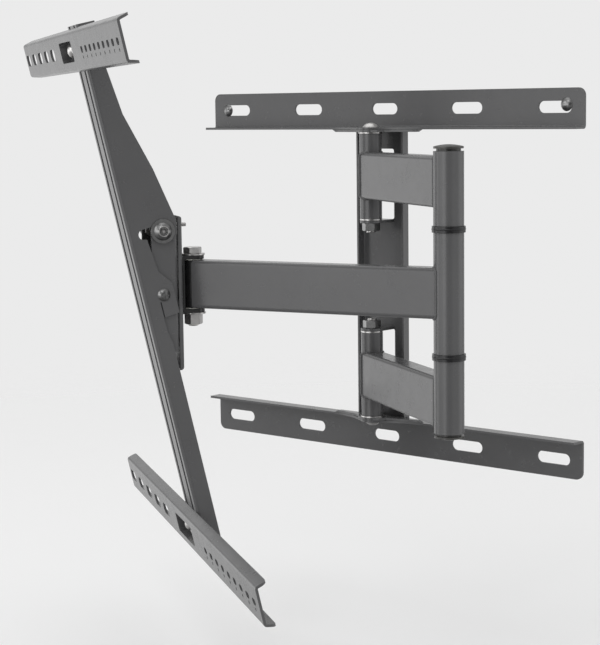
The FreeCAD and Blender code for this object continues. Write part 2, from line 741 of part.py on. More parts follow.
def swivel_bracket():
    """A folded U with two ears round the swivel bolt, and the seat of the level pivot."""
    web_front = size.head_out - size.plate_back
    web_back = web_front - size.bracket_sheet
    fold = size.bend + 1
    half = size.bracket_wide / 2
    piece = Piece("swivel_bracket", SWIVEL)
    section = piece.sketch("YZ")
    inner = fold - size.bracket_sheet
    section.loop(
        (0, ear_in), (0, ear_out), (-web_front + fold, ear_out),
        (-web_front, ear_out - fold, -web_front + fold, ear_out - fold, 1),
        (-web_front, -ear_out + fold),
        (-web_front + fold, -ear_out, -web_front + fold, -ear_out + fold, 1),
        (0, -ear_out), (0, -ear_in), (-web_front + fold, -ear_in),
        (-web_back, -ear_in + inner, -web_back + inner, -ear_in + inner, -1),
        (-web_back, ear_in - inner),
        (-web_front + fold, ear_in, -web_back + inner, ear_in - inner, -1))
    piece.pad(section, size.bracket_wide, both=True)
    for side in (-1, 1):
        ear = piece.sketch("XY", lift=side * ear_in)
        ear.circle(0, 0, half)
        piece.pad(ear, size.bracket_sheet, back=side < 0)
    piece.cut(piece.sketch("XY").circle(0, 0, size.bolt_round + size.hole_fit))
    return piece


def level_hole(piece):
    """Cut the countersunk hole of the level pivot through the swivel bracket."""
    piece.cut(piece.sketch("XZ").circle(0, -size.head_drop, size.level_round))
    inside = size.plate_back + size.bracket_sheet - size.head_out
    depth = size.level_head - size.level_round
    cone = piece.sketch("XY", lift=-size.head_drop)
    cone.loop((0, inside), (0, inside - depth), (size.level_round, inside - depth), (size.level_head, inside))
    return piece.turn("Groove", cone)


keep(level_hole(swivel_bracket()))


def back_plate():
    """A shallow channel with rounded rear corners."""
    half = size.plate_half
    sheet_t = size.plate_sheet
    back, edge = size.plate_back, size.plate_edge
    round_in = sized(1)
    round_out = round_in + sheet_t
    piece = Piece("back_plate", HEAD)
    section = piece.sketch("XY")
    section.loop(
        (-half + round_out, back), (-half, back - round_out, -half + round_out, back - round_out, 1),
        (-half, edge), (-half + sheet_t, edge), (-half + sheet_t, back - round_out),
        (-half + round_out, back - sheet_t, -half + round_out, back - round_out, -1),
        (half - round_out, back - sheet_t),
        (half - sheet_t, back - round_out, half - round_out, back - round_out, -1),
        (half - sheet_t, edge), (half, edge), (half, back - round_out),
        (half - round_out, back, half - round_out, back - round_out, 1))
    piece.pad(section, 2 * size.plate_high, both=True)
    holes = piece.sketch("XZ")
    holes.circle(0, 0, size.level_round)
    holes.slot(sized(0), size.level_place, 2 * size.level_slot, 2 * size.level_screw_round + 1.5)
    piece.cut(holes)
    corner = size.plate_corner
    high = size.plate_high
    rounding = piece.sketch("YZ")
    for side in (-1, 1):
        rounding.loop(
            (back - corner, side * (high + 1)), (back + 1, side * (high + 1)),
            (back + 1, side * (high - corner)), (back, side * (high - corner)),
            (back - corner, side * high, back - corner, side * (high - corner), side))
    piece.cut(rounding)
    return keep(piece)


back_plate()
keep(turned("swivel_washers", SWIVEL, *(
    ring(washer_hole, size.swivel_washer_round, side * ear_out, side * (ear_out + size.swivel_washer))
    for side in (-1, 1))))
head_seat = ear_out + size.swivel_washer


def swivel_bolt():
    """The hex bolt of the swivel, from above."""
    core = size.bolt_round / 2
    piece = nut("swivel_bolt", SWIVEL, "XY", size.nut_flats, head_seat, size.hex_head, core, 1)
    tail = -(head_seat + size.lock_nut_height + size.bolt_over)
    profile = piece.sketch("XZ")
    shank = size.bolt_round
    profile.loop((0, tail), (shank - 1, tail), (shank, tail + 1), (shank, head_seat + size.hex_head / 2),
                 (shank + 1, head_seat + size.hex_head), (0, head_seat + size.hex_head))
    return piece.turn("Revolution", profile)


keep(swivel_bolt())
keep(nut("swivel_nut", SWIVEL, "XY", size.nut_flats, head_seat, size.lock_nut_height,
         size.bolt_round, -1))
plate_front = size.plate_back - size.plate_sheet
web_front = size.web_back - size.wing_sheet
spacer_round = size.level_round * 2
level_seat = size.plate_back + size.bracket_sheet


def level_pivot():
    """The countersunk bolt that the tilt bracket is levelled on."""
    piece = Piece("level_pivot_bolt", HEAD)
    profile = piece.sketch("XY")
    shank = size.level_round
    tail = web_front - size.clamp_washer_thick - size.screw_nut_height - 1
    profile.loop((0, level_seat), (size.level_head, level_seat),
                 (shank, level_seat - size.level_head + shank), (shank, tail), (0, tail))
    return keep(piece.turn("Revolution", profile))


level_pivot()
spacer = Piece("level_spacer", HEAD)
spacer_profile = spacer.sketch("XY")
spacer_profile.loop(*ring(size.level_round, spacer_round, size.web_back, plate_front))
keep(spacer.turn("Revolution", spacer_profile))
washer = Piece("level_washer", HEAD)
washer_profile = washer.sketch("XY")
washer_profile.loop(*ring(size.level_round, spacer_round, web_front - size.clamp_washer_thick, web_front))
keep(washer.turn("Revolution", washer_profile))
keep(nut("level_pivot_nut", HEAD, "XZ", size.nut_flats, -(web_front - size.clamp_washer_thick),
         size.screw_nut_height, size.level_round, 1))

# Level bracket

wing_out = size.spine_wide / 2 - size.spine_sheet - size.wing_gap
wing_in = wing_out - size.wing_sheet


def tilt_bracket():
    """A folded U whose wings carry the clamp bolts and the pivot screws."""
    piece = Piece("tilt_bracket", HEAD)
    edge, sheet_t = size.web_back, size.wing_sheet
    fold = size.bend
    inner = fold - sheet_t
    front = -size.wing_front
    nose = size.wing_front
    outer = piece.sketch("XY", lift=-size.wing_foot)
    outer.loop(
        (-wing_out + fold, edge), (-wing_out, edge - fold, -wing_out + fold, edge - fold, 1),
        (-wing_out, front), (-wing_in, front), (-wing_in, edge - fold),
        (-wing_in + inner, edge - sheet_t, -wing_in + inner, edge - fold, -1),
        (wing_in - inner, edge - sheet_t),
        (wing_in, edge - fold, wing_in - inner, edge - fold, -1),
        (wing_in, front), (wing_out, front), (wing_out, edge - fold),
        (wing_out - fold, edge, wing_out - fold, edge - fold, 1))
    piece.pad(outer, size.wing_foot + size.clamp_place + nose)
    trim = piece.sketch("YZ")
    high = size.clamp_place
    top = high + nose + 1
    trim.loop((front - 1, high), (front, high), (0, high + nose, 0, high, -1),
              (edge + 1, high + nose), (edge + 1, top), (front - 1, top))
    piece.cut(trim)
    reach = size.spine_front - size.bend
    slant = size.tilt_forward
    foot = size.wing_foot
    start = (reach - nose * cosine(slant)) / sine(slant)
    stop = (reach - foot * sine(slant)) / cosine(slant)
    slope = piece.sketch("YZ")
    slope.loop((front, -start), (-stop, -foot), (-stop, -foot - 1), (front - 1, -foot - 1), (front - 1, -start))
    piece.cut(slope)
    holes = piece.sketch("YZ")
    holes.circle(0, high, size.bolt_round).circle(0, 0, size.screw_round)
    piece.cut(holes)
    level = piece.sketch("XZ")
    level.circle(0, 0, size.level_round + size.running_fit)
    level.circle(0, size.level_place, size.level_screw_round)
    piece.cut(level)
    return keep(piece)


tilt_bracket()
spine_half = size.spine_wide / 2
clamp_seat = spine_half + size.clamp_washer_thick


def side_piece(name, side, outline, height):
    """A piece turned round an axis along X at one height; outline is (x, radius)."""
    piece = Piece(name, HEAD)
    profile = piece.sketch("XY", lift=height)
    profile.loop(*outline(side))
    return piece.turn("Revolution", profile, "H_Axis")


def clamp_outline(side):
    """Domed head and shank of a clamp bolt."""
    crown = clamp_seat + size.clamp_dome
    centre = dome(clamp_seat, crown, size.clamp_head)
    tail = wing_in - size.nut_height - size.bolt_over
    return ((side * tail, 0), (side * tail, size.bolt_round), (side * clamp_seat, size.bolt_round),
            (side * clamp_seat, size.clamp_head), (side * crown, 0, side * centre, 0, -side))


def screw_outline(side):
    """Domed head and shank of a pivot screw."""
    crown = spine_half + size.screw_dome
    centre = dome(spine_half, crown, size.screw_head)
    tail = wing_in - size.screw_nut_height - size.bolt_over
    return ((side * tail, 0), (side * tail, size.screw_round), (side * spine_half, size.screw_round),
            (side * spine_half, size.screw_head), (side * crown, 0, side * centre, 0, -side))


def washer_outline(side):
    """A clamp washer on the spine."""
    inner = size.bolt_round + size.hole_fit
    return ((side * spine_half, inner), (side * clamp_seat, inner),
            (side * clamp_seat, size.clamp_washer), (side * spine_half, size.clamp_washer))


def clamp_bolt(side):
    """A clamp bolt with its socket."""
    bolt = side_piece(f"clamp_bolt_{'near' if side > 0 else 'far'}", side, clamp_outline, size.clamp_place)
    deep = size.clamp_dome * 0.6
    socket = bolt.sketch("YZ", lift=side * (clamp_seat + size.clamp_dome), along=size.clamp_place)
    socket.hexagon(sized(0), sized(0), size.socket_flats)
    return bolt.cut(socket, deep, both=False, back=side < 0)


def pivot_screw(side):
    """A pivot screw with its cross recess."""
    screw = side_piece(f"pivot_screw_{'near' if side > 0 else 'far'}", side, screw_outline, sized(0))
    cross = screw.sketch("YZ", lift=side * (spine_half + size.screw_dome))
    arm, slim = size.screw_head * 0.55, size.screw_head * 0.13
    cross.loop((slim, -arm), (slim, -slim), (arm, -slim), (arm, slim), (slim, slim), (slim, arm),
               (-slim, arm), (-slim, slim), (-arm, slim), (-arm, -slim), (-slim, -slim), (-slim, -arm))
    return screw.cut(cross, size.screw_dome * 0.6, both=False, back=side < 0)


group("clamp_bolts", [clamp_bolt(side) for side in (-1, 1)])
group("clamp_washers", [side_piece("clamp_washer_piece", side, washer_outline, size.clamp_place)
                        for side in (-1, 1)])
group("clamp_nuts", [nut("clamp_nut_piece", HEAD, "YZ", size.nut_flats, side * (wing_in - size.nut_height)
                         if side > 0 else -wing_in, size.nut_height, size.bolt_round, 1,
                         along=size.clamp_place) for side in (-1, 1)])
group("pivot_screws", [pivot_screw(side) for side in (-1, 1)])
group("pivot_screw_nuts", [nut("screw_nut_piece", HEAD, "YZ", size.screw_nut_flats,
                               wing_in - size.screw_nut_height if side > 0 else -wing_in,
                               size.screw_nut_height, size.screw_round, 1) for side in (-1, 1)])


def level_screw():
    """The small screw that sets the level, its end out behind the back plate."""
    piece = Piece("level_screw", HEAD)
    profile = piece.sketch("XY", lift=size.level_place)
    thin, wide = size.level_screw_round, size.level_screw_head
    crown = web_front - size.level_screw_high
    tail = size.plate_back + size.level_over
    profile.loop((0, crown), (wide, crown), (wide, web_front), (thin, web_front), (thin, tail), (0, tail))
    return keep(piece.turn("Revolution", profile))


level_screw()

# Tilt frame

top_rail = size.spine_top - size.top_margin
low_rail = size.spine_foot - size.foot_margin


def tilt_spine():
    """The long folded U with its arc slots, hooks, notches and grooved face."""
    piece = Piece("tilt_spine", TILT)
    half, sheet_t, fold = spine_half, size.spine_sheet, size.bend
    inner = fold - sheet_t
    front = -size.spine_front
    fold_line = front + fold
    section = piece.sketch("XY", lift=-size.spine_foot)
    section.loop(
        (half - fold, front), (half, fold_line, half - fold, fold_line, 1),
        (half, fold_line + 1), (half - sheet_t, fold_line + 1), (half - sheet_t, fold_line),
        (half - fold, front + sheet_t, half - fold, fold_line, -1),
        (-half + fold, front + sheet_t),
        (-half + sheet_t, fold_line, -half + fold, fold_line, -1),
        (-half + sheet_t, fold_line + 1), (-half, fold_line + 1), (-half, fold_line),
        (-half + fold, front, -half + fold, fold_line, 1))
    piece.pad(section, size.spine_foot + size.spine_top)
    for side in (-1, 1):
        lift = half if side > 0 else -half + sheet_t
        wall = piece.sketch("YZ", lift=lift)
        side_wall(wall, fold_line)
        piece.pad(wall, sheet_t, back=True)
    grooves = piece.sketch("XZ", lift=size.spine_front)
    wide = size.groove_wide / 2
    for side in (-1, 1):
        place = side * size.groove_place
        grooves.box(place - wide, place + wide, -size.spine_foot - 1, size.spine_top + 1)
    piece.cut(grooves, size.groove_deep, both=False)
    slots = piece.sketch("XZ", lift=size.spine_front)
    spacing = (top_rail + low_rail) / (GROOVE_SLOTS - 1)
    for side in (-1, 1):
        slots.upright_slot(side * size.groove_place, top_rail,
                           size.groove_slot_long, size.groove_slot_wide)
    piece.repeat(slots, "V_Axis", spacing, GROOVE_SLOTS, back=True)
    return keep(piece)


def polar(radius, angle):
    """Sketch point (y, z) at an angle from straight up, positive to the back."""
    return radius * sine(angle), radius * cosine(angle)


def side_wall(wall, fold_line):
    """Outline of a spine wall: straight edges, hook over the clamp bolt, notch, ear and slit."""
    edge = -size.spine_edge
    middle = size.clamp_place
    half_slot = size.clamp_slot_wide / 2
    back_end = size.tilt_forward
    front_end = -size.tilt_back
    out_back = polar(middle + half_slot, back_end)
    in_back = polar(middle - half_slot, back_end)
    centre_back = polar(middle, back_end)
    out_front = polar(middle + half_slot, front_end)
    in_front = polar(middle - half_slot, front_end)
    centre_front = polar(middle, front_end)
    slit_back = size.slit_wide - size.slit_front
    hook = in_back[0] + size.hook_back
    wall.loop(
        (fold_line, -size.spine_foot), (edge, -size.spine_foot), (edge, -size.wall_foot),
        (-size.slit_front, -size.slit_foot), (-size.slit_front, -size.screw_head),
        (slit_back, -size.screw_head), (slit_back, -size.ear_low),
        (size.ear_back, size.ear_slant - size.ear_low), (size.ear_back, size.ear_shoulder),
        (0, size.ear_top), (-size.notch_front, middle - size.notch_drop),
        (in_front[0], in_front[1]),
        (out_front[0], out_front[1], centre_front[0], centre_front[1], -1),
        (out_back[0], out_back[1], 0, 0, -1),
        (in_back[0], in_back[1], centre_back[0], centre_back[1], -1),
        (hook, middle - size.hook_drop), (hook + half_slot, middle - size.notch_drop),
        (size.crest_back, middle + size.crest_rise), (size.taper_back, size.taper_high),
        (size.neck_back, size.neck_high), (edge, size.taper_end),
        (edge, size.spine_top), (fold_line, size.spine_top))
    wall.circle(0, 0, size.screw_round + size.running_fit)


tilt_spine()


def screen_rail(name, place):
    """A screen rail: web, splayed flanges, slots and the pressed bolt pocket."""
    piece = Piece(name, TILT)
    sheet_t = size.screen_sheet
    half = size.screen_length / 2
    back = -size.spine_front
    web = back - size.screen_deep
    tall = size.screen_high / 2
    splay = size.screen_splay
    slope = root(size.screen_deep * size.screen_deep + splay * splay)
    bend, inner = size.screen_bend, size.screen_bend - sheet_t
    middle = web + bend
    high = tall - bend * (slope - splay) / size.screen_deep
    lean, rise = splay / slope, size.screen_deep / slope
    edge = tall + splay
    inner_edge = edge - sheet_t / rise
    section = piece.sketch("YZ", along=place)
    section.loop(
        (back, -edge), (back, -inner_edge), (middle - inner * lean, -high - inner * rise),
        (web + sheet_t, -high, middle, -high, -1), (web + sheet_t, high),
        (middle - inner * lean, high + inner * rise, middle, high, -1), (back, inner_edge), (back, edge),
        (middle - bend * lean, high + bend * rise), (web, high, middle, high, 1), (web, -high),
        (middle - bend * lean, -high - bend * rise, middle, -high, 1))
    piece.pad(section, size.screen_length, both=True)
    corner = size.screen_corner
    tips = piece.sketch("XY")
    for side in (-1, 1):
        tips.loop(
            (side * (half - corner), back + 1), (side * (half + 1), back + 1),
            (side * (half + 1), back - corner), (side * half, back - corner),
            (side * (half - corner), back, side * (half - corner), back - corner, side))
    piece.cut(tips)
    wall = sheet_t
    long_half, high_half = size.pocket_long / 2, size.pocket_high / 2
    pocket = piece.sketch("XZ", lift=size.spine_front, along=place)
    pocket.box(-long_half - wall, long_half + wall, -high_half - wall, high_half + wall, wall + 3)
    piece.pad(pocket, size.screen_deep)
    hollow = piece.sketch("XZ", lift=size.spine_front + sheet_t, along=place)
    hollow.box(-long_half, long_half, -high_half, high_half, sized(3))
    piece.cut(hollow, size.screen_deep, both=False, back=True)
    large = piece.sketch("XZ", lift=size.spine_front, along=place)
    large.slot(-size.slot_start, sized(0), size.large_slot_long, size.large_slot_wide)
    piece.repeat(large, "H_Axis", size.large_pitch, LARGE_SLOTS, back=True)
    small = piece.sketch("XZ", lift=size.spine_front, along=place)
    small.slot(size.slot_start, sized(0), size.small_slot_long, size.small_slot_wide)
    small.circle(size.slot_start, -size.pin_hole_drop, size.pin_hole)
    piece.repeat(small, "H_Axis", size.small_pitch, SMALL_SLOTS)
    holes = piece.sketch("XZ", lift=size.spine_front, along=place)
    for side in (-1, 1):
        holes.circle(side * size.groove_place, 0, size.carriage_round)
    piece.cut(holes)
    return keep(piece)


screen_rail("top_screen_rail", top_rail)
screen_rail("bottom_screen_rail", -low_rail)


def rail_fixings(label, place):
    """The two carriage bolts of a screen rail, with washers and nuts behind the spine."""
    seat = -size.spine_front - size.screen_sheet
    crown = seat - size.carriage_dome
    centre = -dome(-seat, -crown, size.carriage_head)
    inside = -size.spine_front + size.spine_sheet
    washer_end = inside + size.carriage_washer_thick
    tail = washer_end + size.carriage_nut_height + size.bolt_over
    thin = size.carriage_round
    bolts, washers, nuts = [], [], []
    for side in (-1, 1):
        across = side * size.groove_place
        bolt = Piece(f"{label}_bolt", TILT)
        profile = bolt.sketch("XY", lift=place, across=across)
        profile.loop((0, crown), (size.carriage_head, seat, 0, centre, 1), (thin, seat), (thin, tail), (0, tail))
        bolts.append(bolt.turn("Revolution", profile))
        flat = Piece(f"{label}_washer", TILT)
        profile = flat.sketch("XY", lift=place, across=across)
        profile.loop(*ring(thin, size.carriage_washer, inside, washer_end))
        washers.append(flat.turn("Revolution", profile))
        nuts.append(nut(f"{label}_nut", TILT, "XZ", size.carriage_nut_flats, washer_end,
                        size.carriage_nut_height, thin, -1, across=across, along=place))
    group(f"{label}_rail_bolts", bolts)
    group(f"{label}_rail_washers", washers)
    group(f"{label}_rail_nuts", nuts)


rail_fixings("top", top_rail)
rail_fixings("bottom", -low_rail)

doc.recompute()
for item in doc.Objects:
    if "Invalid" in item.State or "Error" in item.State:
        raise RuntimeError(f"{item.Name} ({item.Label}): {item.State}")
os.makedirs("parts", exist_ok=True)
for item in PARTS:
    shape = item.Shape
    if shape.isNull() or not shape.isValid():
        raise RuntimeError(f"{item.Label} has no valid shape")
    shape.exportStep(f"parts/{item.Label}.step")
    print(f"{item.Label}: {len(shape.Solids)} solids, {shape.Volume:.0f} mm3")
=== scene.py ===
"""Dress the double arm TV wall mount: finishes, weld beads, thread ends, studio and camera.

Lengths are in metres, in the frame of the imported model: the wall is the plane Y = 0, the room lies
toward -Y, and X runs along the wall rails.
"""

import json
import logging
import math
from dataclasses import dataclass, field
from enum import Enum
from typing import Iterable, Optional, Protocol, Sequence

import bmesh
import bpy
from mathutils import Matrix, Vector

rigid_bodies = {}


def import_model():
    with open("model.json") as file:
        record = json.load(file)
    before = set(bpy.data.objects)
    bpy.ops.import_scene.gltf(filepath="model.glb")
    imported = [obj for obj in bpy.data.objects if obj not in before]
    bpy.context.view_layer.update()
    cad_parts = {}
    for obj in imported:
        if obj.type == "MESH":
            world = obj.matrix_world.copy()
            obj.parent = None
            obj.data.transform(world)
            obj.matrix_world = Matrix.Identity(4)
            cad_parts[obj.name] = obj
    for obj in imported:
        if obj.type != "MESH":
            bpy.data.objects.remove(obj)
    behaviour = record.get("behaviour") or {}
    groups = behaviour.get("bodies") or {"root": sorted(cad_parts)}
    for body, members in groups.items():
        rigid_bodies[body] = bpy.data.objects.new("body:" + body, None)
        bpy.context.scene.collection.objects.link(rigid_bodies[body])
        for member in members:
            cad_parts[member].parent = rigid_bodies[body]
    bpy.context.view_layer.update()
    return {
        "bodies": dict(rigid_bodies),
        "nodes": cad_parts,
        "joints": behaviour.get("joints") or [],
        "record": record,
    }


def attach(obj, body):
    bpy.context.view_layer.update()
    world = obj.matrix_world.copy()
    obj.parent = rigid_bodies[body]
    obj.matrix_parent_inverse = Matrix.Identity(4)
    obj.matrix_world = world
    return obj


LOG = logging.getLogger("wall_mount")
MM = 0.001
NOISE_LOW = 0.3
NOISE_HIGH = 0.7


class Slot(Enum):
    """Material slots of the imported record."""

    POWDER_COAT = "powder_coat"
    # Near-black coat of the swivel bracket: partly its dark paint, partly painted shade for the deep shade
    # round the swivel behind the spine.
    BLACK_COAT = "black_coat"
    ZINC_STEEL = "zinc_steel"
    BLACK_PLASTIC = "black_plastic"
    NYLON = "nylon"


class Side(Enum):
    """Upper or lower half of the mount."""

    UPPER = 1
    LOWER = -1


# Finishes


def socket_of(node: bpy.types.Node, name: str) -> bpy.types.NodeSocket:
    """Find an input socket by its name in lower case with underscores.

    Args:
        node: Node that has the socket.
        name: Such as specular_ior_level.

    Returns:
        The socket.
    """
    wanted = name.replace("_", " ")
    return next(socket for socket in node.inputs if socket.name.lower() == wanted)


class Graph:
    """A small builder for one node tree."""

    def __init__(self, owner: bpy.types.ID) -> None:
        """Empty the node tree of a material or world.

        Args:
            owner: The material or world.
        """
        owner.use_nodes = True
        self.tree = owner.node_tree
        self.tree.nodes.clear()

    def add(self, kind: str, **settings: object) -> bpy.types.Node:
        """Add a node.

        Args:
            kind: Blender's node type name.
            **settings: Attributes of the node, or values of its input sockets.

        Returns:
            The new node.
        """
        node = self.tree.nodes.new(kind)
        for name, value in settings.items():
            if hasattr(node, name):
                setattr(node, name, value)
            else:
                socket_of(node, name).default_value = value
        return node

    def join(self, source: bpy.types.NodeSocket, target: bpy.types.NodeSocket) -> None:
        """Link an output socket to an input socket."""
        self.tree.links.new(source, target)

    def ramp(self, value: bpy.types.NodeSocket, low: float, high: float, start: float, stop: float,
             kind: str = "LINEAR") -> bpy.types.NodeSocket:
        """Map a value from one range to another.

        Args:
            value: Socket of the value.
            low: Lower end of its range.
            high: Upper end of its range.
            start: What the lower end becomes.
            stop: What the upper end becomes.
            kind: Blender's name of the curve between them.

        Returns:
            The mapped socket.
        """
        node = self.add("ShaderNodeMapRange", interpolation_type=kind)
        for name, number in (("From Min", low), ("From Max", high), ("To Min", start), ("To Max", stop)):
            node.inputs[name].default_value = number
        self.join(value, node.inputs["Value"])
        return node.outputs["Result"]

    def value(self, number: float) -> bpy.types.NodeSocket:
        """Add a plain number.

        Args:
            number: The number.

        Returns:
            Its socket.
        """
        node = self.add("ShaderNodeValue")
        node.outputs[0].default_value = number
        return node.outputs[0]

    def combine(self, operation: str, first: bpy.types.NodeSocket,
                second: bpy.types.NodeSocket) -> bpy.types.NodeSocket:
        """Combine two values.

        Args:
            operation: Blender's name of the sum.
            first: Socket of the first value.
            second: Socket of the second value.

        Returns:
            The socket of the result.
        """
        node = self.add("ShaderNodeMath", operation=operation)
        self.join(first, node.inputs[0])
        self.join(second, node.inputs[1])
        return node.outputs["Value"]


class ShaderGraph(Graph):
    """The nodes of one material round a Principled shader."""

    bevel_samples = 6

    def __init__(self, name: str) -> None:
        """Start a material.

        Args:
            name: Name of the material.
        """
        self.material = bpy.data.materials.new(name)
        super().__init__(self.material)
        self.shader = self.add("ShaderNodeBsdfPrincipled")
        output = self.add("ShaderNodeOutputMaterial")
        self.join(self.shader.outputs["BSDF"], output.inputs["Surface"])
        self.place = self.add("ShaderNodeTexCoord").outputs["Object"]

    def noise(self, scale: float, detail: float = 2.0, roughness: float = 0.5,
              place: Optional[bpy.types.NodeSocket] = None) -> bpy.types.NodeSocket:
        """Add a noise pattern.

        Args:
            scale: Cycles for each metre.
            detail: Octaves.
            roughness: Share of the finer octaves.
            place: Coordinates, or None for the object's own.

        Returns:
            The pattern's value socket.
        """
        node = self.add("ShaderNodeTexNoise", scale=scale, detail=detail, roughness=roughness)
        self.join(place or self.place, node.inputs["Vector"])
        return node.outputs["Fac"]

    def stretch(self, factors: Sequence[float]) -> bpy.types.NodeSocket:
        """Scale the object coordinates.

        Args:
            factors: One factor for each axis.

        Returns:
            The scaled coordinates.
        """
        mapping = self.add("ShaderNodeMapping")
        mapping.inputs["Scale"].default_value = factors
        self.join(self.place, mapping.inputs["Vector"])
        return mapping.outputs["Vector"]

    def tint(self, value: bpy.types.NodeSocket, stops: Iterable[tuple[float, Sequence[float]]]) -> None:
        """Colour the shader from a value.

        Args:
            value: Socket that runs from 0 to 1.
            stops: Places from 0 to 1 with their linear colours.
        """
        node = self.add("ShaderNodeValToRGB")
        elements = node.color_ramp.elements
        stops = list(stops)
        while len(elements) < len(stops):
            elements.new(0.5)
        for element, (position, colour) in zip(elements, stops):
            element.position = position
            element.color = (*colour, 1.0)
        self.join(value, node.inputs["Fac"])
        self.join(node.outputs["Color"], self.shader.inputs["Base Color"])

    def shade(self, value: bpy.types.NodeSocket, colour: Sequence[float], spread: Sequence[float]) -> None:
        """Colour the shader from a noise.

        Args:
            value: The noise.
            colour: The mean colour, linear.
            spread: Shares of the colour where the noise is low and where it is high.
        """
        stops = [(place, [share * part for part in colour])
                 for place, share in zip((NOISE_LOW, NOISE_HIGH), spread)]
        self.tint(value, stops)

    def dull(self, value: bpy.types.NodeSocket, roughness: float, spread: Sequence[float]) -> None:
        """Let a noise vary the roughness.

        Args:
            value: The noise.
            roughness: The mean roughness.
            spread: What is added where the noise is low and where it is high.
        """
        rough = self.ramp(value, NOISE_LOW, NOISE_HIGH, roughness + spread[0], roughness + spread[1])
        self.join(rough, self.shader.inputs["Roughness"])

    def bumps(self, layers: Iterable[tuple[bpy.types.NodeSocket, float, float]], edge: float) -> None:
        """Stack bump layers over rounded edges.

        Args:
            layers: Height socket, strength and distance of each layer.
            edge: Radius of the edge rounding.
        """
        bevel = self.add("ShaderNodeBevel", samples=self.bevel_samples)
        bevel.inputs["Radius"].default_value = edge
        normal = bevel.outputs["Normal"]
        for height, strength, distance in layers:
            bump = self.add("ShaderNodeBump", strength=strength, distance=distance)
            self.join(height, bump.inputs["Height"])
            self.join(normal, bump.inputs["Normal"])
            normal = bump.outputs["Normal"]
        self.join(normal, self.shader.inputs["Normal"])

    def level(self, **values: float) -> None:
        """Set constant values on the shader's own sockets."""
        for name, value in values.items():
            socket_of(self.shader, name).default_value = value


class Finish(Protocol):
    """Anything that can build a material."""

    name: str

    def build(self) -> bpy.types.Material:
        """Return the finished material."""


@dataclass(frozen=True)
class PowderCoat:
    """Dark grey satin powder coat with a fine orange peel."""

    name: str = "powder_coat"
    shade: float = 0.084
    tone: tuple[float, float, float] = (1.0, 1.0, 1.02)
    cloud: float = 14.0
    shade_spread: tuple[float, float] = (0.96, 1.05)
    roughness: float = 0.24
    gloss: float = 60.0
    gloss_spread: tuple[float, float] = (-0.03, 0.05)
    peel: float = 700.0
    peel_strength: float = 0.3
    peel_depth: float = 0.00002
    edge: float = 0.0005

    def build(self) -> bpy.types.Material:
        """Build the material.

        Returns:
            The finished material.
        """
        graph = ShaderGraph(self.name)
        colour = [self.shade * part for part in self.tone]
        graph.shade(graph.noise(self.cloud, 4.0, 0.6), colour, self.shade_spread)
        graph.dull(graph.noise(self.gloss, 5.0, 0.65), self.roughness, self.gloss_spread)
        graph.bumps([(graph.noise(self.peel), self.peel_strength, self.peel_depth)], self.edge)
        graph.level(specular_ior_level=0.5, metallic=0.0)
        return graph.material


@dataclass(frozen=True)
class Zinc:
    """Bright zinc plate with fine turning marks and a faint cloudiness."""

    name: str = "zinc_plate"
    bright: float = 0.62
    warmth: float = 0.03
    cloud: float = 170.0
    shade_spread: tuple[float, float] = (0.82, 1.1)
    roughness: float = 0.3
    streak: float = 900.0
    streak_run: tuple[float, float, float] = (1.0, 1.0, 5.0)
    streak_spread: tuple[float, float] = (-0.07, 0.1)
    streak_strength: float = 0.3
    streak_depth: float = 0.00003
    edge: float = 0.0003

    def build(self) -> bpy.types.Material:
        """Build the material.

        Returns:
            The finished material.
        """
        graph = ShaderGraph(self.name)
        colour = [self.bright * part for part in (1.0, 1.0 - self.warmth / 2, 1.0 - self.warmth)]
        graph.shade(graph.noise(self.cloud, 4.0, 0.6), colour, self.shade_spread)
        streak = graph.noise(self.streak, 3.0, 0.6, graph.stretch(self.streak_run))
        graph.dull(streak, self.roughness, self.streak_spread)
        graph.bumps([(streak, self.streak_strength, self.streak_depth)], self.edge)
        graph.level(metallic=1.0)
        return graph.material


@dataclass(frozen=True)
class Moulded:
    """Moulded plastic with a light grain."""

    name: str = "black_plastic"
    colour: tuple[float, float, float] = (0.011, 0.011, 0.012)
    cloud: float = 90.0
    shade_spread: tuple[float, float] = (0.85, 1.2)
    roughness: float = 0.27
    grain: float = 1600.0
    grain_spread: tuple[float, float] = (-0.06, 0.08)
    grain_strength: float = 0.3
    grain_depth: float = 0.00003
    edge: float = 0.0004

    def build(self) -> bpy.types.Material:
        """Build the material.

        Returns:
            The finished material.
        """
        graph = ShaderGraph(self.name)
        graph.shade(graph.noise(self.cloud, 3.0), self.colour, self.shade_spread)
        grain = graph.noise(self.grain)
        graph.dull(grain, self.roughness, self.grain_spread)
        graph.bumps([(grain, self.grain_strength, self.grain_depth)], self.edge)
        graph.level(specular_ior_level=0.5)
        return graph.material


# Shared modelling


def stand(name: str, mesh: bpy.types.Mesh) -> bpy.types.Object:
    """Show a mesh as an object at the origin.

    Args:
        name: Name of the object.
        mesh: Its mesh.

    Returns:
        The object.
    """
    piece = bpy.data.objects.new(name, mesh)
    bpy.context.scene.collection.objects.link(piece)
    return piece


def new_piece(name: str, shape: bmesh.types.BMesh) -> bpy.types.Object:
    """Turn a mesh under work into an object at the origin.

    Args:
        name: Name of the object and of its mesh.
        shape: The mesh under work, which is freed.

    Returns:
        The object.
    """
    mesh = bpy.data.meshes.new(name)
    shape.to_mesh(mesh)
    shape.free()
    return stand(name, mesh)


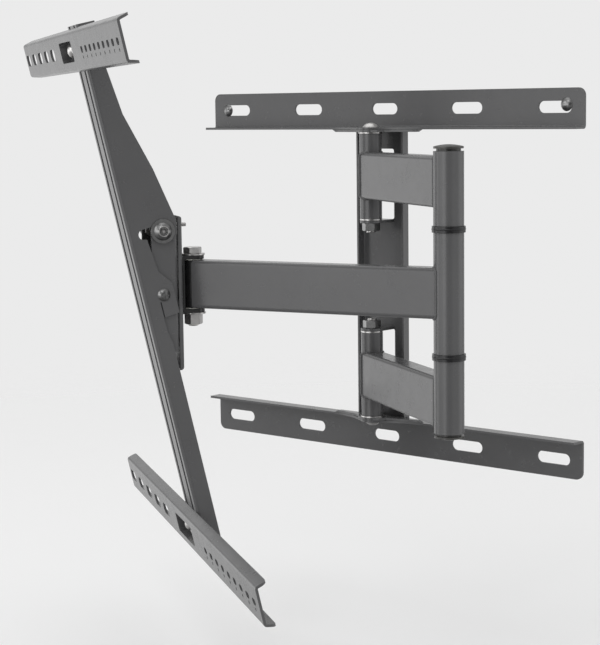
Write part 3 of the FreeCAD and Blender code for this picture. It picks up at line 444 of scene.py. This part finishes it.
class Modeller:
    """Builds pieces, dresses them and puts each on its body."""

    ripple_run = 3.0
    end_share = 0.45
    end_gain = 0.2

    def __init__(self, finishes: dict[str, bpy.types.Material]) -> None:
        """Keep the finishes by name.

        Args:
            finishes: Built materials.
        """
        self.finishes = finishes
        self.made: list[str] = []

    def keep(self, piece: bpy.types.Object, body: str, finish: str, slot: Slot) -> bpy.types.Object:
        """Dress a piece, let it ride on a body and report it.

        Args:
            piece: The new object.
            body: Name of the body that carries it.
            finish: Name of its finish.
            slot: The record's material slot; not used.

        Returns:
            The same object.
        """
        piece.data.materials.clear()
        piece.data.materials.append(self.finishes[finish])
        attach(piece, body)
        self.made.append(piece.name)
        LOG.info("%s rides on %s", piece.name, body)
        return piece

    def merge(self, name: str, pieces: Sequence[bpy.types.Object]) -> bpy.types.Object:
        """Join pieces that stand at the origin into one new object.

        Args:
            name: Name of the new piece.
            pieces: Objects to take up.

        Returns:
            The joined piece.
        """
        shape = bmesh.new()
        for piece in pieces:
            shape.from_mesh(piece.data)
            bpy.data.objects.remove(piece)
        for face in shape.faces:
            face.smooth = True
        return new_piece(name, shape)

    def bead(self, name: str, routes: Sequence[Sequence[Vector]], radius: float, ripple: float,
             closed: bool = True) -> bpy.types.Object:
        """Sweep a rippled weld bead along one or more routes.

        Args:
            name: Name of the piece.
            routes: Points of each route.
            radius: Mean radius of the bead.
            ripple: Share of the radius that the ripples take.
            closed: Whether each route is a loop.

        Returns:
            The bead as a mesh object.
        """
        curve = bpy.data.curves.new(name, "CURVE")
        curve.dimensions = "3D"
        curve.bevel_depth = radius
        curve.bevel_resolution = 2
        curve.resolution_u = 1
        curve.use_fill_caps = True
        for route in routes:
            spline = curve.splines.new("POLY")
            spline.points.add(len(route) - 1)
            for index, (point, place) in enumerate(zip(spline.points, route)):
                point.co = (*place, 1.0)
                end = min(index, len(route) - 1 - index)
                fade = 1.0 if closed else min(1.0, self.end_share + self.end_gain * end)
                point.radius = fade * (1.0 + ripple * math.sin(index * math.tau / self.ripple_run))
            spline.use_cyclic_u = closed
        temporary = bpy.data.objects.new(f"{name}_route", curve)
        mesh = bpy.data.meshes.new_from_object(temporary)
        mesh.name = name
        bpy.data.objects.remove(temporary)
        for face in mesh.polygons:
            face.use_smooth = True
        return stand(name, mesh)


def arc(radius: float, start: float, stop: float, steps: int) -> list[Vector]:
    """Return points on an arc round the origin, in the XY plane.

    Args:
        radius: Its radius.
        start: Angle of its first point in degrees.
        stop: Angle of its last point in degrees.
        steps: Number of runs between its points.

    Returns:
        The points, both ends among them.
    """
    turns = [math.radians(start + (stop - start) * step / steps) for step in range(steps + 1)]
    return [Vector((math.cos(turn), math.sin(turn), 0)) * radius for turn in turns]


def resample(points: Sequence[Vector], step: float, closed: bool = True) -> list[Vector]:
    """Space points evenly along a line of runs, and on a loop in threes, which is one ripple.

    Args:
        points: Corners of the line.
        step: Wanted spacing.
        closed: Whether the line ends where it starts.

    Returns:
        The evenly spaced points.
    """
    line = list(points) + ([points[0]] if closed else [])
    lengths = [(b - a).length for a, b in zip(line, line[1:])]
    total = sum(lengths)
    count = max(4, round(total / step))
    if closed:
        count = max(6, 3 * round(count / 3))
    result = []
    for index in range(count if closed else count + 1):
        target = total * index / count
        run = 0
        while run < len(lengths) - 1 and target > lengths[run]:
            target -= lengths[run]
            run += 1
        share = min(1.0, target / lengths[run]) if lengths[run] else 0.0
        result.append(line[run].lerp(line[run + 1], share))
    return result


@dataclass(frozen=True)
class Tube:
    """Outline of the rectangular arm tube."""

    wide: float = 25 * MM
    high: float = 50 * MM
    corner: float = 4 * MM

    def outline(self, steps: int = 5) -> list[tuple[float, float]]:
        """Return the outline.

        Args:
            steps: Number of runs round each corner.

        Returns:
            Points (across, up) round the tube.
        """
        points = []
        for sx, sz, start in ((1, 1, 0), (-1, 1, 90), (-1, -1, 180), (1, -1, 270)):
            for step in range(steps + 1):
                angle = math.radians(start + 90 * step / steps)
                x = sx * (self.wide / 2 - self.corner) + self.corner * math.cos(angle)
                z = sz * (self.high / 2 - self.corner) + self.corner * math.sin(angle)
                points.append((x, z))
        return points


@dataclass(frozen=True)
class Axes:
    """Origin and directions of a turned sub-assembly."""

    origin: Vector
    x: Vector
    z: Vector = Vector((0, 0, 1))

    @property
    def y(self) -> Vector:
        """Third direction."""
        return self.z.cross(self.x)

    def point(self, x: float, y: float, z: float) -> Vector:
        """Return a point from its own coordinates."""
        return self.origin + self.x * x + self.y * y + self.z * z


@dataclass(frozen=True)
class Skeleton:
    """Axes of the mount at rest, read from the record's joints."""

    shoulder: Axes
    arm: Axes
    forearm: Axes
    swivel: Axes
    head: Axes
    tilt: Axes
    arm_reach: float
    fore_reach: float

    @classmethod
    def read(cls, record: dict, tilt_angle: float = 12.65) -> "Skeleton":
        """Work the axes out.

        Args:
            record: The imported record.
            tilt_angle: Forward tilt of the spine in degrees.

        Returns:
            The skeleton.
        """
        joints = {joint["name"]: joint for joint in record["behaviour"]["joints"]}
        shoulder, elbow, swivel = (Vector(joints[name]["pos_m"]) for name in
                                   ("shoulder_swing", "elbow_swing", "head_swivel"))
        centre = Vector(joints["screen_tilt"]["pos_m"])
        across = Vector(joints["screen_tilt"]["axis"])
        out = Vector(joints["level_adjust"]["axis"])
        up = Vector((0, 0, 1))
        turn = math.radians(tilt_angle)
        arm, fore = elbow - shoulder, swivel - elbow
        return cls(
            shoulder=Axes(shoulder, Vector((1, 0, 0))), arm=Axes(shoulder, arm.normalized()),
            forearm=Axes(elbow, fore.normalized()), swivel=Axes(swivel, across),
            head=Axes(centre, across), arm_reach=arm.length, fore_reach=fore.length,
            tilt=Axes(centre, across, up * math.cos(turn) + out * math.sin(turn)))


@dataclass
class ArmWelds:
    """Weld beads between the rectangular arms and their round tubes."""

    modeller: Modeller
    skeleton: Skeleton
    tube: Tube = field(default_factory=Tube)
    arm_place: float = 108 * MM
    pivot_round: float = 12 * MM
    post_round: float = 15 * MM
    bead_radius: float = 1.5 * MM
    bead_step: float = 1.1 * MM
    ripple: float = 0.14

    def ring(self, frame: Axes, centre: float, radius: float, toward: int,
             height: float) -> list[Vector]:
        """Return the line where a tube's outline meets a round tube.

        Args:
            frame: Axes of the arm.
            centre: Place of the round tube along the arm.
            radius: Radius of the round tube.
            toward: 1 where the arm leaves toward its far end, -1 where it arrives.
            height: Height of the arm's centre.

        Returns:
            Evenly spaced points.
        """
        corners = []
        for across, up in self.tube.outline():
            reach = math.sqrt(max(radius * radius - across * across, 0.0))
            corners.append(frame.point(centre + toward * reach, across, height + up))
        return resample(corners, self.bead_step)

    def build(self) -> None:
        """Make the beads of both arms and the forearm."""
        bones = self.skeleton
        for side in Side:
            height = side.value * self.arm_place
            routes = [self.ring(bones.arm, bones.arm_reach, self.post_round, -1, height),
                      self.ring(bones.arm, 0.0, self.pivot_round, 1, height)]
            name = f"{side.name.lower()}_arm_weld"
            bead = self.modeller.bead(name, routes, self.bead_radius, self.ripple)
            self.modeller.keep(bead, "double_arm", "weld", Slot.POWDER_COAT)
        routes = [self.ring(bones.forearm, 0.0, self.post_round, 1, 0.0)]
        bead = self.modeller.bead("middle_arm_weld", routes, self.bead_radius, self.ripple)
        self.modeller.keep(bead, "forearm", "weld", Slot.POWDER_COAT)


@dataclass
class PlateWelds:
    """Open weld beads on the wall bracket and behind the back plate."""

    modeller: Modeller
    skeleton: Skeleton
    rail_inner: float = 157 * MM
    channel_half: float = 32 * MM
    channel_depth: float = 12 * MM
    bracket_half: float = 12 * MM
    plate_back: float = 22 * MM
    bracket_low: float = -14 * MM
    bracket_high: float = 30 * MM
    rail_inset: float = 0.4 * MM
    channel_offset: float = 0.3 * MM
    channel_front: float = 0.5 * MM
    channel_rear: float = 3.5 * MM
    bracket_offset: float = 0.4 * MM
    bead_radius: float = 1.6 * MM
    bead_step: float = 1.1 * MM
    ripple: float = 0.16

    def build(self) -> None:
        """Make the beads."""
        routes = []
        for end in (-1, 1):
            height = end * (self.rail_inner - self.rail_inset)
            for side in (-1, 1):
                x = side * (self.channel_half + self.channel_offset)
                ends = (-self.channel_depth + self.channel_front, -self.channel_rear)
                line = [Vector((x, y, height)) for y in ends]
                routes.append(resample(line, self.bead_step, closed=False))
        bead = self.modeller.bead("channel_welds", routes, self.bead_radius, self.ripple, closed=False)
        self.modeller.keep(bead, "wall_bracket", "weld", Slot.POWDER_COAT)
        routes = []
        for side in (-1, 1):
            x = side * (self.bracket_half + self.bracket_offset)
            ends = [self.skeleton.head.point(x, self.plate_back + self.bracket_offset, z)
                    for z in (self.bracket_low, self.bracket_high)]
            routes.append(resample(ends, self.bead_step, closed=False))
        # These beads take the near-black finish of the swivel bracket: partly dark paint, partly painted
        # shade.
        bead = self.modeller.bead("bracket_welds", routes, self.bead_radius, self.ripple, closed=False)
        self.modeller.keep(bead, "swivel_head", "black_and_shade_weld", Slot.BLACK_COAT)


@dataclass(frozen=True)
class ThreadSize:
    """Visible length, crest radius and pitch of one kind of thread."""

    length: float
    radius: float
    pitch: float


@dataclass(frozen=True)
class ThreadEnd:
    """A visible stretch of thread: a point on its axis, its direction and its sizes."""

    start: Vector
    way: Vector
    size: ThreadSize

    def route(self, steps: int = 18) -> list[Vector]:
        """Return the helix of the thread's crest.

        Args:
            steps: Number of runs in a turn.

        Returns:
            The points of the helix.
        """
        side = self.way.orthogonal().normalized()
        other = self.way.cross(side)
        length, radius = self.size.length, self.size.radius
        count = max(steps, round(steps * length / self.size.pitch))
        points = []
        for index in range(count + 1):
            angle = math.tau * index / steps
            arm = side * math.cos(angle) + other * math.sin(angle)
            points.append(self.start + self.way * (length * index / count) + arm * radius)
        return points


@dataclass
class Threads:
    """Thread crests on every bolt end that shows past its nut."""

    modeller: Modeller
    skeleton: Skeleton
    bolt: ThreadSize = ThreadSize(1.8 * MM, 4.8 * MM, 1.5 * MM)
    pivot_screw: ThreadSize = ThreadSize(1.8 * MM, 3.8 * MM, 1.25 * MM)
    rail_bolt: ThreadSize = ThreadSize(1.8 * MM, 3.15 * MM, 1.0 * MM)
    level_screw: ThreadSize = ThreadSize(7.4 * MM, 1.9 * MM, 0.8 * MM)
    shoulder_height: float = 48.5 * MM
    swivel_height: float = -42.6 * MM
    level_back: float = 22.4 * MM
    level_high: float = 70 * MM
    clamp_across: float = 16.2 * MM
    clamp_high: float = 65.5 * MM
    pivot_across: float = 18.2 * MM
    rail_across: float = 15 * MM
    rail_depth: float = -12 * MM
    rail_heights: tuple[float, float] = (261 * MM, -253 * MM)
    crest: float = 0.34

    def ends(self) -> dict[str, list[ThreadEnd]]:
        """Place the thread ends.

        Returns:
            The ends on each body.
        """
        bones = self.skeleton
        head, tilt, up = bones.head, bones.tilt, Vector((0, 0, 1))
        wall = [ThreadEnd(bones.shoulder.point(0, 0, side * self.shoulder_height), up * -side, self.bolt)
                for side in (-1, 1)]
        swivel = [ThreadEnd(bones.swivel.point(0, 0, self.swivel_height), -up, self.bolt)]
        level = [ThreadEnd(head.point(0, self.level_back, self.level_high), head.y, self.level_screw)]
        for side in (-1, 1):
            clamp = head.point(side * self.clamp_across, 0, self.clamp_high)
            pivot = head.point(side * self.pivot_across, 0, 0)
            level.append(ThreadEnd(clamp, head.x * -side, self.bolt))
            level.append(ThreadEnd(pivot, head.x * -side, self.pivot_screw))
        places = [tilt.point(side * self.rail_across, self.rail_depth, height)
                  for side in (-1, 1) for height in self.rail_heights]
        rails = [ThreadEnd(place, tilt.y, self.rail_bolt) for place in places]
        return {"wall_bracket": wall, "swivel_head": swivel, "level_bracket": level, "tilt_frame": rails}

    def build(self) -> None:
        """Make one piece of crests for each body."""
        for body, ends in self.ends().items():
            pieces = []
            for index, end in enumerate(ends):
                thick = end.size.pitch * self.crest
                name = f"{body}_thread_{index}"
                pieces.append(self.modeller.bead(name, [end.route()], thick, 0.0, closed=False))
            piece = self.modeller.merge(f"{body}_threads", pieces)
            self.modeller.keep(piece, body, "zinc_plate", Slot.ZINC_STEEL)


@dataclass
class Trim:
    """Rings and small bright details: lock nut ring, elbow rings, socket rims and socket stars."""

    modeller: Modeller
    skeleton: Skeleton
    nut_height: float = -42.4 * MM
    nut_ring: float = 6 * MM
    nut_thick: float = 1.0 * MM
    elbow_height: float = 62.6 * MM
    elbow_ring: float = 15.3 * MM
    elbow_thick: float = 1.6 * MM
    clamp_high: float = 65.5 * MM
    clamp_crown: float = 36.8 * MM
    socket_depth: float = 3.1 * MM
    socket_rim: float = 5.1 * MM
    rim_thick: float = 0.55 * MM
    star_round: float = 2.9 * MM
    star_taper: float = 6.0
    star_high: float = 0.7 * MM
    star_sides: int = 6
    steps: int = 48

    def loop(self, centre: Vector, first: Vector, second: Vector, radius: float) -> list[Vector]:
        """Return a circle of points.

        Args:
            centre: Its middle.
            first: One direction in its plane.
            second: The other direction.
            radius: Its radius.

        Returns:
            Its points.
        """
        angles = [math.tau * index / self.steps for index in range(self.steps)]
        return [centre + first * (radius * math.cos(a)) + second * (radius * math.sin(a)) for a in angles]

    def ring(self, name: str, loops: Sequence[Sequence[Vector]], thick: float, body: str, finish: str,
             slot: Slot) -> None:
        """Make round rings along closed loops."""
        piece = self.modeller.bead(name, loops, thick, 0.0)
        self.modeller.keep(piece, body, finish, slot)

    def stars(self) -> None:
        """Make the bright six-sided cones that a socket shows at its bottom."""
        head = self.skeleton.head
        shape = bmesh.new()
        for side in (-1, 1):
            made = bmesh.ops.create_cone(
                shape, cap_ends=True, segments=self.star_sides, radius1=self.star_round,
                radius2=self.star_round / self.star_taper, depth=self.star_high)
            turn = (head.x * side).to_track_quat("Z", "Y").to_matrix().to_4x4()
            height = side * (self.clamp_crown - self.socket_depth + self.star_high / 2)
            place = Matrix.Translation(head.point(height, 0, self.clamp_high))
            bmesh.ops.transform(shape, matrix=place @ turn, verts=made["verts"])
        piece = new_piece("clamp_socket_stars", shape)
        self.modeller.keep(piece, "level_bracket", "zinc_plate", Slot.ZINC_STEEL)

    def build(self) -> None:
        """Make all of them."""
        bones = self.skeleton
        east, north, up = Vector((1, 0, 0)), Vector((0, 1, 0)), Vector((0, 0, 1))
        nut = self.loop(bones.swivel.point(0, 0, self.nut_height), east, north, self.nut_ring)
        self.ring("lock_nut_ring", [nut], self.nut_thick, "swivel_head", "nylon", Slot.NYLON)
        for side in Side:
            centre = bones.forearm.point(0, 0, side.value * self.elbow_height)
            elbow = self.loop(centre, east, north, self.elbow_ring)
            self.ring(f"{side.name.lower()}_elbow_ring", [elbow], self.elbow_thick, "forearm",
                      "black_plastic", Slot.BLACK_PLASTIC)
        crowns = [bones.head.point(side * (self.clamp_crown - self.rim_thick), 0, self.clamp_high)
                  for side in (-1, 1)]
        rims = [self.loop(crown, bones.head.y, up, self.socket_rim) for crown in crowns]
        self.ring("clamp_socket_rims", rims, self.rim_thick, "level_bracket", "zinc_plate", Slot.ZINC_STEEL)
        self.stars()


@dataclass
class BoltPlates:
    """The pressed step of each wall rail's flange round its shoulder bolt, and the washer rim below it.

    Points are measured from the shoulder axis, with Y toward the wall. The flank's points follow the
    edge of the rail's lug within 2 mm.
    """

    modeller: Modeller
    skeleton: Skeleton
    height: float = 156.95 * MM
    thick: float = 2.55 * MM
    half: float = 60 * MM
    slope: float = 4.5 * MM
    slope_start: float = 50 * MM
    rear: float = 13.3 * MM
    hole: float = 12.6 * MM
    nose: float = 13.4 * MM
    nose_stop: float = -50.0
    nose_steps: int = 5
    hole_steps: int = 24
    rim_inner: float = 12.15 * MM
    rim_outer: float = 12.9 * MM
    rim_high: float = 1.4 * MM
    rim_steps: int = 96
    weld: float = 0.001 * MM
    flank: tuple[tuple[float, float], ...] = (
        (0.015, -0.0072), (0.020, -0.0013), (0.025, 0.0011), (0.030, 0.0022), (0.035, 0.0032),
        (0.040, 0.0049), (0.045, 0.0062), (0.050, 0.0071), (0.055, 0.0077), (0.060, 0.0079),
    )

    def outline(self) -> list[Vector]:
        """Join the nose, flank, rear edge and hole of the right half.

        Returns:
            The points of its outline.
        """
        flank = [Vector((x, y, 0)) for x, y in self.flank]
        rear = [Vector((self.half, self.rear, 0)), Vector((0, self.rear, 0))]
        return (arc(self.nose, -90, self.nose_stop, self.nose_steps) + flank + rear
                + arc(self.hole, 90, -90, self.hole_steps))

    def mirror(self, shape: bmesh.types.BMesh, axis: str) -> None:
        """Add the mirror image of a whole mesh across one axis, and weld it where they meet."""
        geometry = shape.verts[:] + shape.edges[:] + shape.faces[:]
        bmesh.ops.mirror(shape, geom=geometry, axis=axis, merge_dist=self.weld)

    def plates(self) -> bmesh.types.BMesh:
        """Extrude one half, draw in the lower end of its slope and mirror it both ways.

        Returns:
            The steps of both rails.
        """
        shape = bmesh.new()
        face = shape.faces.new([shape.verts.new(point) for point in self.outline()])
        bmesh.ops.translate(shape, verts=shape.verts, vec=(0, 0, self.height))
        grown = bmesh.ops.extrude_face_region(shape, geom=[face])["geom"]
        for vert in [item for item in grown if isinstance(item, bmesh.types.BMVert)]:
            share = max(0.0, vert.co.x - self.slope_start) / (self.half - self.slope_start)
            vert.co += Vector((-self.slope * share, 0, -self.thick))
        seam = [wall for wall in shape.faces if all(abs(vert.co.x) < self.weld for vert in wall.verts)]
        bmesh.ops.delete(shape, geom=seam, context="FACES_ONLY")
        self.mirror(shape, "X")
        self.mirror(shape, "Z")
        return shape

    def rims(self) -> bmesh.types.BMesh:
        """Spin a small rectangle round the axis below the upper step and mirror it down.

        Returns:
            The washer rims of both rails.
        """
        shape = bmesh.new()
        top = self.height - self.thick
        low = top - self.rim_high
        corners = [shape.verts.new((radius, 0, height)) for radius, height in (
            (self.rim_inner, top), (self.rim_outer, top), (self.rim_outer, low), (self.rim_inner, low))]
        profile = [shape.edges.new(ends) for ends in zip(corners, corners[1:] + corners[:1])]
        bmesh.ops.spin(shape, geom=profile, cent=(0, 0, 0), axis=(0, 0, 1), angle=math.tau,
                       steps=self.rim_steps, use_merge=True)
        self.mirror(shape, "Z")
        return shape

    def keep(self, name: str, shape: bmesh.types.BMesh, finish: str, slot: Slot) -> None:
        """Stand a mesh at the shoulder axis and make it a piece of the wall bracket.

        Args:
            name: Name of the piece.
            shape: The mesh under work, which is freed.
            finish: Name of its finish.
            slot: The record's material slot.
        """
        bmesh.ops.translate(shape, verts=shape.verts, vec=self.skeleton.shoulder.origin)
        bmesh.ops.recalc_face_normals(shape, faces=shape.faces)
        self.modeller.keep(new_piece(name, shape), "wall_bracket", finish, slot)

    def build(self) -> None:
        """Make the steps and the rims of both rails."""
        self.keep("bolt_plates", self.plates(), "powder_coat", Slot.POWDER_COAT)
        self.keep("shoulder_washer_rims", self.rims(), "zinc_plate", Slot.ZINC_STEEL)


@dataclass(frozen=True)
class Panel:
    """A soft panel of light: direction, cosines of rim and core, strength, and foot if it has one."""

    way: tuple[float, float, float]
    rim: float
    core: float
    power: float
    foot: Optional[float] = None


@dataclass(frozen=True)
class Lamp:
    """A square area lamp: its place, its side in metres and its watts."""

    name: str
    place: tuple[float, float, float]
    side: float
    watts: float


@dataclass
class Studio:
    """Floor, backdrop, panels, lamps and camera."""

    floor_height: float = -0.42
    floor_radius: float = 2.6
    floor_solid: float = 1.0
    floor_fade: float = 0.97
    floor_steps: int = 96
    paper: float = 0.87
    paper_rough: float = 0.9
    paper_shine: float = 0.1
    soft: float = 0.91
    pale: float = 0.83
    room: float = 0.5
    foot_fade: float = 0.03
    panels: tuple[Panel, ...] = (
        Panel((-0.6536, 0.7478, -0.1172), 0.86, 0.965, 0.33),
        Panel((-0.98, 0.12, -0.18), 0.94, 0.99, 0.75),
        Panel((-0.90, -0.42, -0.05), 0.93, 0.985, 1.0),
        Panel((-0.55, -0.83, 0.06), 0.78, 0.92, 0.6, -0.15),
        Panel((-0.33, -0.94, 0.05), 0.93, 0.985, 0.6, -0.15),
        Panel((0.06, -1.0, -0.03), 0.965, 0.993, 1.6),
        Panel((0.66, -0.75, 0.1), 0.87, 0.97, -0.45),
        Panel((0.2, -0.2, -1.0), 0.5, 0.9, -0.3),
        Panel((0.72, 0.69, 0.0), 0.90, 0.98, 0.6),
        Panel((-0.76, 0.42, 0.5), 0.92, 0.97, 0.3),
        Panel((-0.25, 0.1, 1.0), 0.82, 0.95, 0.8),
    )
    lamps: tuple[Lamp, ...] = (
        Lamp("key", (-1.4, -2.2, 1.4), 1.2, 7),
        Lamp("overhead", (0.5, -1.5, 1.7), 0.9, 6),
    )
    lamp_target: tuple[float, float, float] = (-0.05, -0.2, 0.0)
    focal_px: float = 1813.33
    image_width_px: float = 600.0
    sensor_mm: float = 36.0
    camera_place: tuple[float, float, float] = (1.2289, -1.5513, 0.1805)
    yaw: float = 0.7184
    pitch: float = 0.1175
    roll: float = -0.0122
    clip_end: float = 50.0

    @property
    def forward(self) -> Vector:
        """Direction in which the camera looks."""
        return Vector((-math.sin(self.yaw) * math.cos(self.pitch),
                       math.cos(self.yaw) * math.cos(self.pitch), -math.sin(self.pitch)))

    def floor(self) -> None:
        """Make a round pale floor that fades into the backdrop."""
        shape = bmesh.new()
        bmesh.ops.create_circle(shape, cap_ends=True, segments=self.floor_steps, radius=self.floor_radius)
        bmesh.ops.translate(shape, verts=shape.verts, vec=(0, 0, self.floor_height))
        floor = new_piece("floor", shape)
        graph = ShaderGraph("floor_paper")
        graph.level(roughness=self.paper_rough, specular_ior_level=self.paper_shine)
        graph.shader.inputs["Base Color"].default_value = (self.paper, self.paper, self.paper, 1.0)
        reach = graph.add("ShaderNodeVectorMath", operation="LENGTH")
        graph.join(graph.place, reach.inputs[0])
        fade = graph.ramp(reach.outputs["Value"], self.floor_solid, self.floor_radius * self.floor_fade,
                          1.0, 0.0, "SMOOTHSTEP")
        graph.join(fade, graph.shader.inputs["Alpha"])
        floor.data.materials.append(graph.material)
        floor.visible_glossy = False

    def glow(self, graph: Graph, panel: Panel, looking: bpy.types.NodeSocket) -> bpy.types.NodeSocket:
        """Add a panel to the surroundings.

        Args:
            graph: The world's nodes.
            panel: The panel.
            looking: Socket of the direction looked at.

        Returns:
            Its strength in that direction.
        """
        dot = graph.add("ShaderNodeVectorMath", operation="DOT_PRODUCT")
        graph.join(looking, dot.inputs[0])
        dot.inputs[1].default_value = Vector(panel.way).normalized()
        strength = graph.ramp(dot.outputs["Value"], panel.rim, panel.core, 0.0, panel.power, "SMOOTHSTEP")
        if panel.foot is None:
            return strength
        height = graph.add("ShaderNodeSeparateXYZ")
        graph.join(looking, height.inputs[0])
        above = graph.ramp(height.outputs["Z"], panel.foot - self.foot_fade, panel.foot + self.foot_fade,
                           0.0, 1.0, "SMOOTHSTEP")
        return graph.combine("MULTIPLY", strength, above)

    def world(self) -> None:
        """Light softly from all round, with a pale background and a pale room in the reflections."""
        world = bpy.data.worlds.new("studio")
        bpy.context.scene.world = world
        graph = Graph(world)
        looking = graph.add("ShaderNodeTexCoord").outputs["Generated"]
        room = graph.value(self.room)
        for panel in self.panels:
            room = graph.combine("ADD", room, self.glow(graph, panel, looking))
        path = graph.add("ShaderNodeLightPath")
        background = graph.combine("MAXIMUM", path.outputs["Is Camera Ray"],
                                   path.outputs["Is Transmission Ray"])
        shader = self.ground(graph, graph.value(self.soft))
        for seen, strength in ((path.outputs["Is Glossy Ray"], room), (background, graph.value(self.pale))):
            mix = graph.add("ShaderNodeMixShader")
            graph.join(seen, mix.inputs["Fac"])
            graph.join(shader, mix.inputs[1])
            graph.join(self.ground(graph, strength), mix.inputs[2])
            shader = mix.outputs["Shader"]
        graph.join(shader, graph.add("ShaderNodeOutputWorld").inputs["Surface"])

    def ground(self, graph: Graph, strength: bpy.types.NodeSocket) -> bpy.types.NodeSocket:
        """Add a white background.

        Args:
            graph: The world's nodes.
            strength: Socket of its strength.

        Returns:
            Its socket.
        """
        shader = graph.add("ShaderNodeBackground")
        shader.inputs["Color"].default_value = (1, 1, 1, 1)
        graph.join(strength, shader.inputs["Strength"])
        return shader.outputs["Background"]

    def shine(self, lamp: Lamp) -> None:
        """Add a lamp that points at the mount.

        Args:
            lamp: The lamp.
        """
        data = bpy.data.lights.new(lamp.name, "AREA")
        data.size = lamp.side
        data.energy = lamp.watts
        light = bpy.data.objects.new(lamp.name, data)
        light.location = lamp.place
        direction = Vector(self.lamp_target) - Vector(lamp.place)
        light.rotation_euler = direction.to_track_quat("-Z", "Y").to_euler()
        bpy.context.scene.collection.objects.link(light)

    def camera(self) -> None:
        """Stand the camera where the photograph was taken."""
        forward = self.forward
        level = Vector((math.cos(self.yaw), math.sin(self.yaw), 0))
        upright = level.cross(forward)
        right = level * math.cos(self.roll) + upright * math.sin(self.roll)
        up = upright * math.cos(self.roll) - level * math.sin(self.roll)
        data = bpy.data.cameras.new("camera")
        data.sensor_fit = "HORIZONTAL"
        data.sensor_width = self.sensor_mm
        data.lens = self.focal_px * self.sensor_mm / self.image_width_px
        data.clip_end = self.clip_end
        camera = bpy.data.objects.new("camera", data)
        turn = Matrix((right, up, -forward)).transposed()
        camera.matrix_world = Matrix.Translation(self.camera_place) @ turn.to_4x4()
        bpy.context.scene.collection.objects.link(camera)
        bpy.context.scene.camera = camera

    def build(self) -> None:
        """Set the whole studio up."""
        self.floor()
        self.world()
        for lamp in self.lamps:
            self.shine(lamp)
        self.camera()
        bpy.context.scene.view_settings.view_transform = "Standard"


SLOT_FINISHES = {
    Slot.POWDER_COAT.value: "powder_coat", Slot.ZINC_STEEL.value: "zinc_plate",
    Slot.BLACK_COAT.value: "black_coat", Slot.BLACK_PLASTIC.value: "black_plastic",
    Slot.NYLON.value: "nylon",
}
# The swivel tube takes the near-black coat as painted shade, so the arm's end is as dark as the shaded
# recess by the swivel bracket.
NODE_FINISHES = {
    "top_post_cap": "cap_plastic", "bottom_post_cap": "cap_plastic", "clamp_bolts": "dark_zinc",
    "clamp_washers": "dark_zinc", "pivot_screws": "dark_zinc", "end_slot_studs": "dark_zinc",
    "upper_shoulder_nut": "dark_zinc", "lower_shoulder_nut": "dark_zinc", "swivel_tube": "black_coat",
}


@dataclass
class Dressing:
    """Finishes of the nodes that come from the model."""

    finishes: dict[str, bpy.types.Material]
    frame: dict

    def node(self, name: str, finish: str) -> None:
        """Give a node one finish.

        Args:
            name: Name of the node.
            finish: Name of the finish.
        """
        piece = self.frame["nodes"][name]
        piece.data.materials.clear()
        piece.data.materials.append(self.finishes[finish])

    def build(self) -> None:
        """Dress every node by its own entry, or else by its slot."""
        for part in self.frame["record"]["subparts"]:
            name = part["node"]
            self.node(name, NODE_FINISHES.get(name, SLOT_FINISHES[part["material_slot"]]))


def build_finishes() -> dict[str, bpy.types.Material]:
    """Build every finish.

    Returns:
        The materials by name.
    """
    looks: tuple[Finish, ...] = (
        PowderCoat(),
        PowderCoat(name="weld", roughness=0.42, peel=1400.0),
        # Near-black coat and weld: partly dark paint, partly painted shade for the deep shade round the
        # swivel behind the spine.
        PowderCoat(name="black_coat", shade=0.012),
        PowderCoat(name="black_and_shade_weld", shade=0.014, roughness=0.4),
        Zinc(),
        Zinc(name="dark_zinc", bright=0.27, warmth=0.0),
        Moulded(),
        Moulded(name="cap_plastic", colour=(0.05, 0.049, 0.046), roughness=0.3),
        Moulded(name="nylon", colour=(0.6, 0.6, 0.55), roughness=0.45),
    )
    return {look.name: look.build() for look in looks}


def main() -> None:
    """Load the frame, dress it and light it."""
    logging.basicConfig(level=logging.INFO, format="%(message)s")
    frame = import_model()
    finishes = build_finishes()
    Dressing(finishes, frame).build()
    skeleton = Skeleton.read(frame["record"])
    modeller = Modeller(finishes)
    for work in (ArmWelds(modeller, skeleton), PlateWelds(modeller, skeleton), Threads(modeller, skeleton),
                 Trim(modeller, skeleton), BoltPlates(modeller, skeleton)):
        work.build()
    LOG.info("%d pieces made here", len(modeller.made))
    Studio().build()


if __name__ == "__main__":
    main()
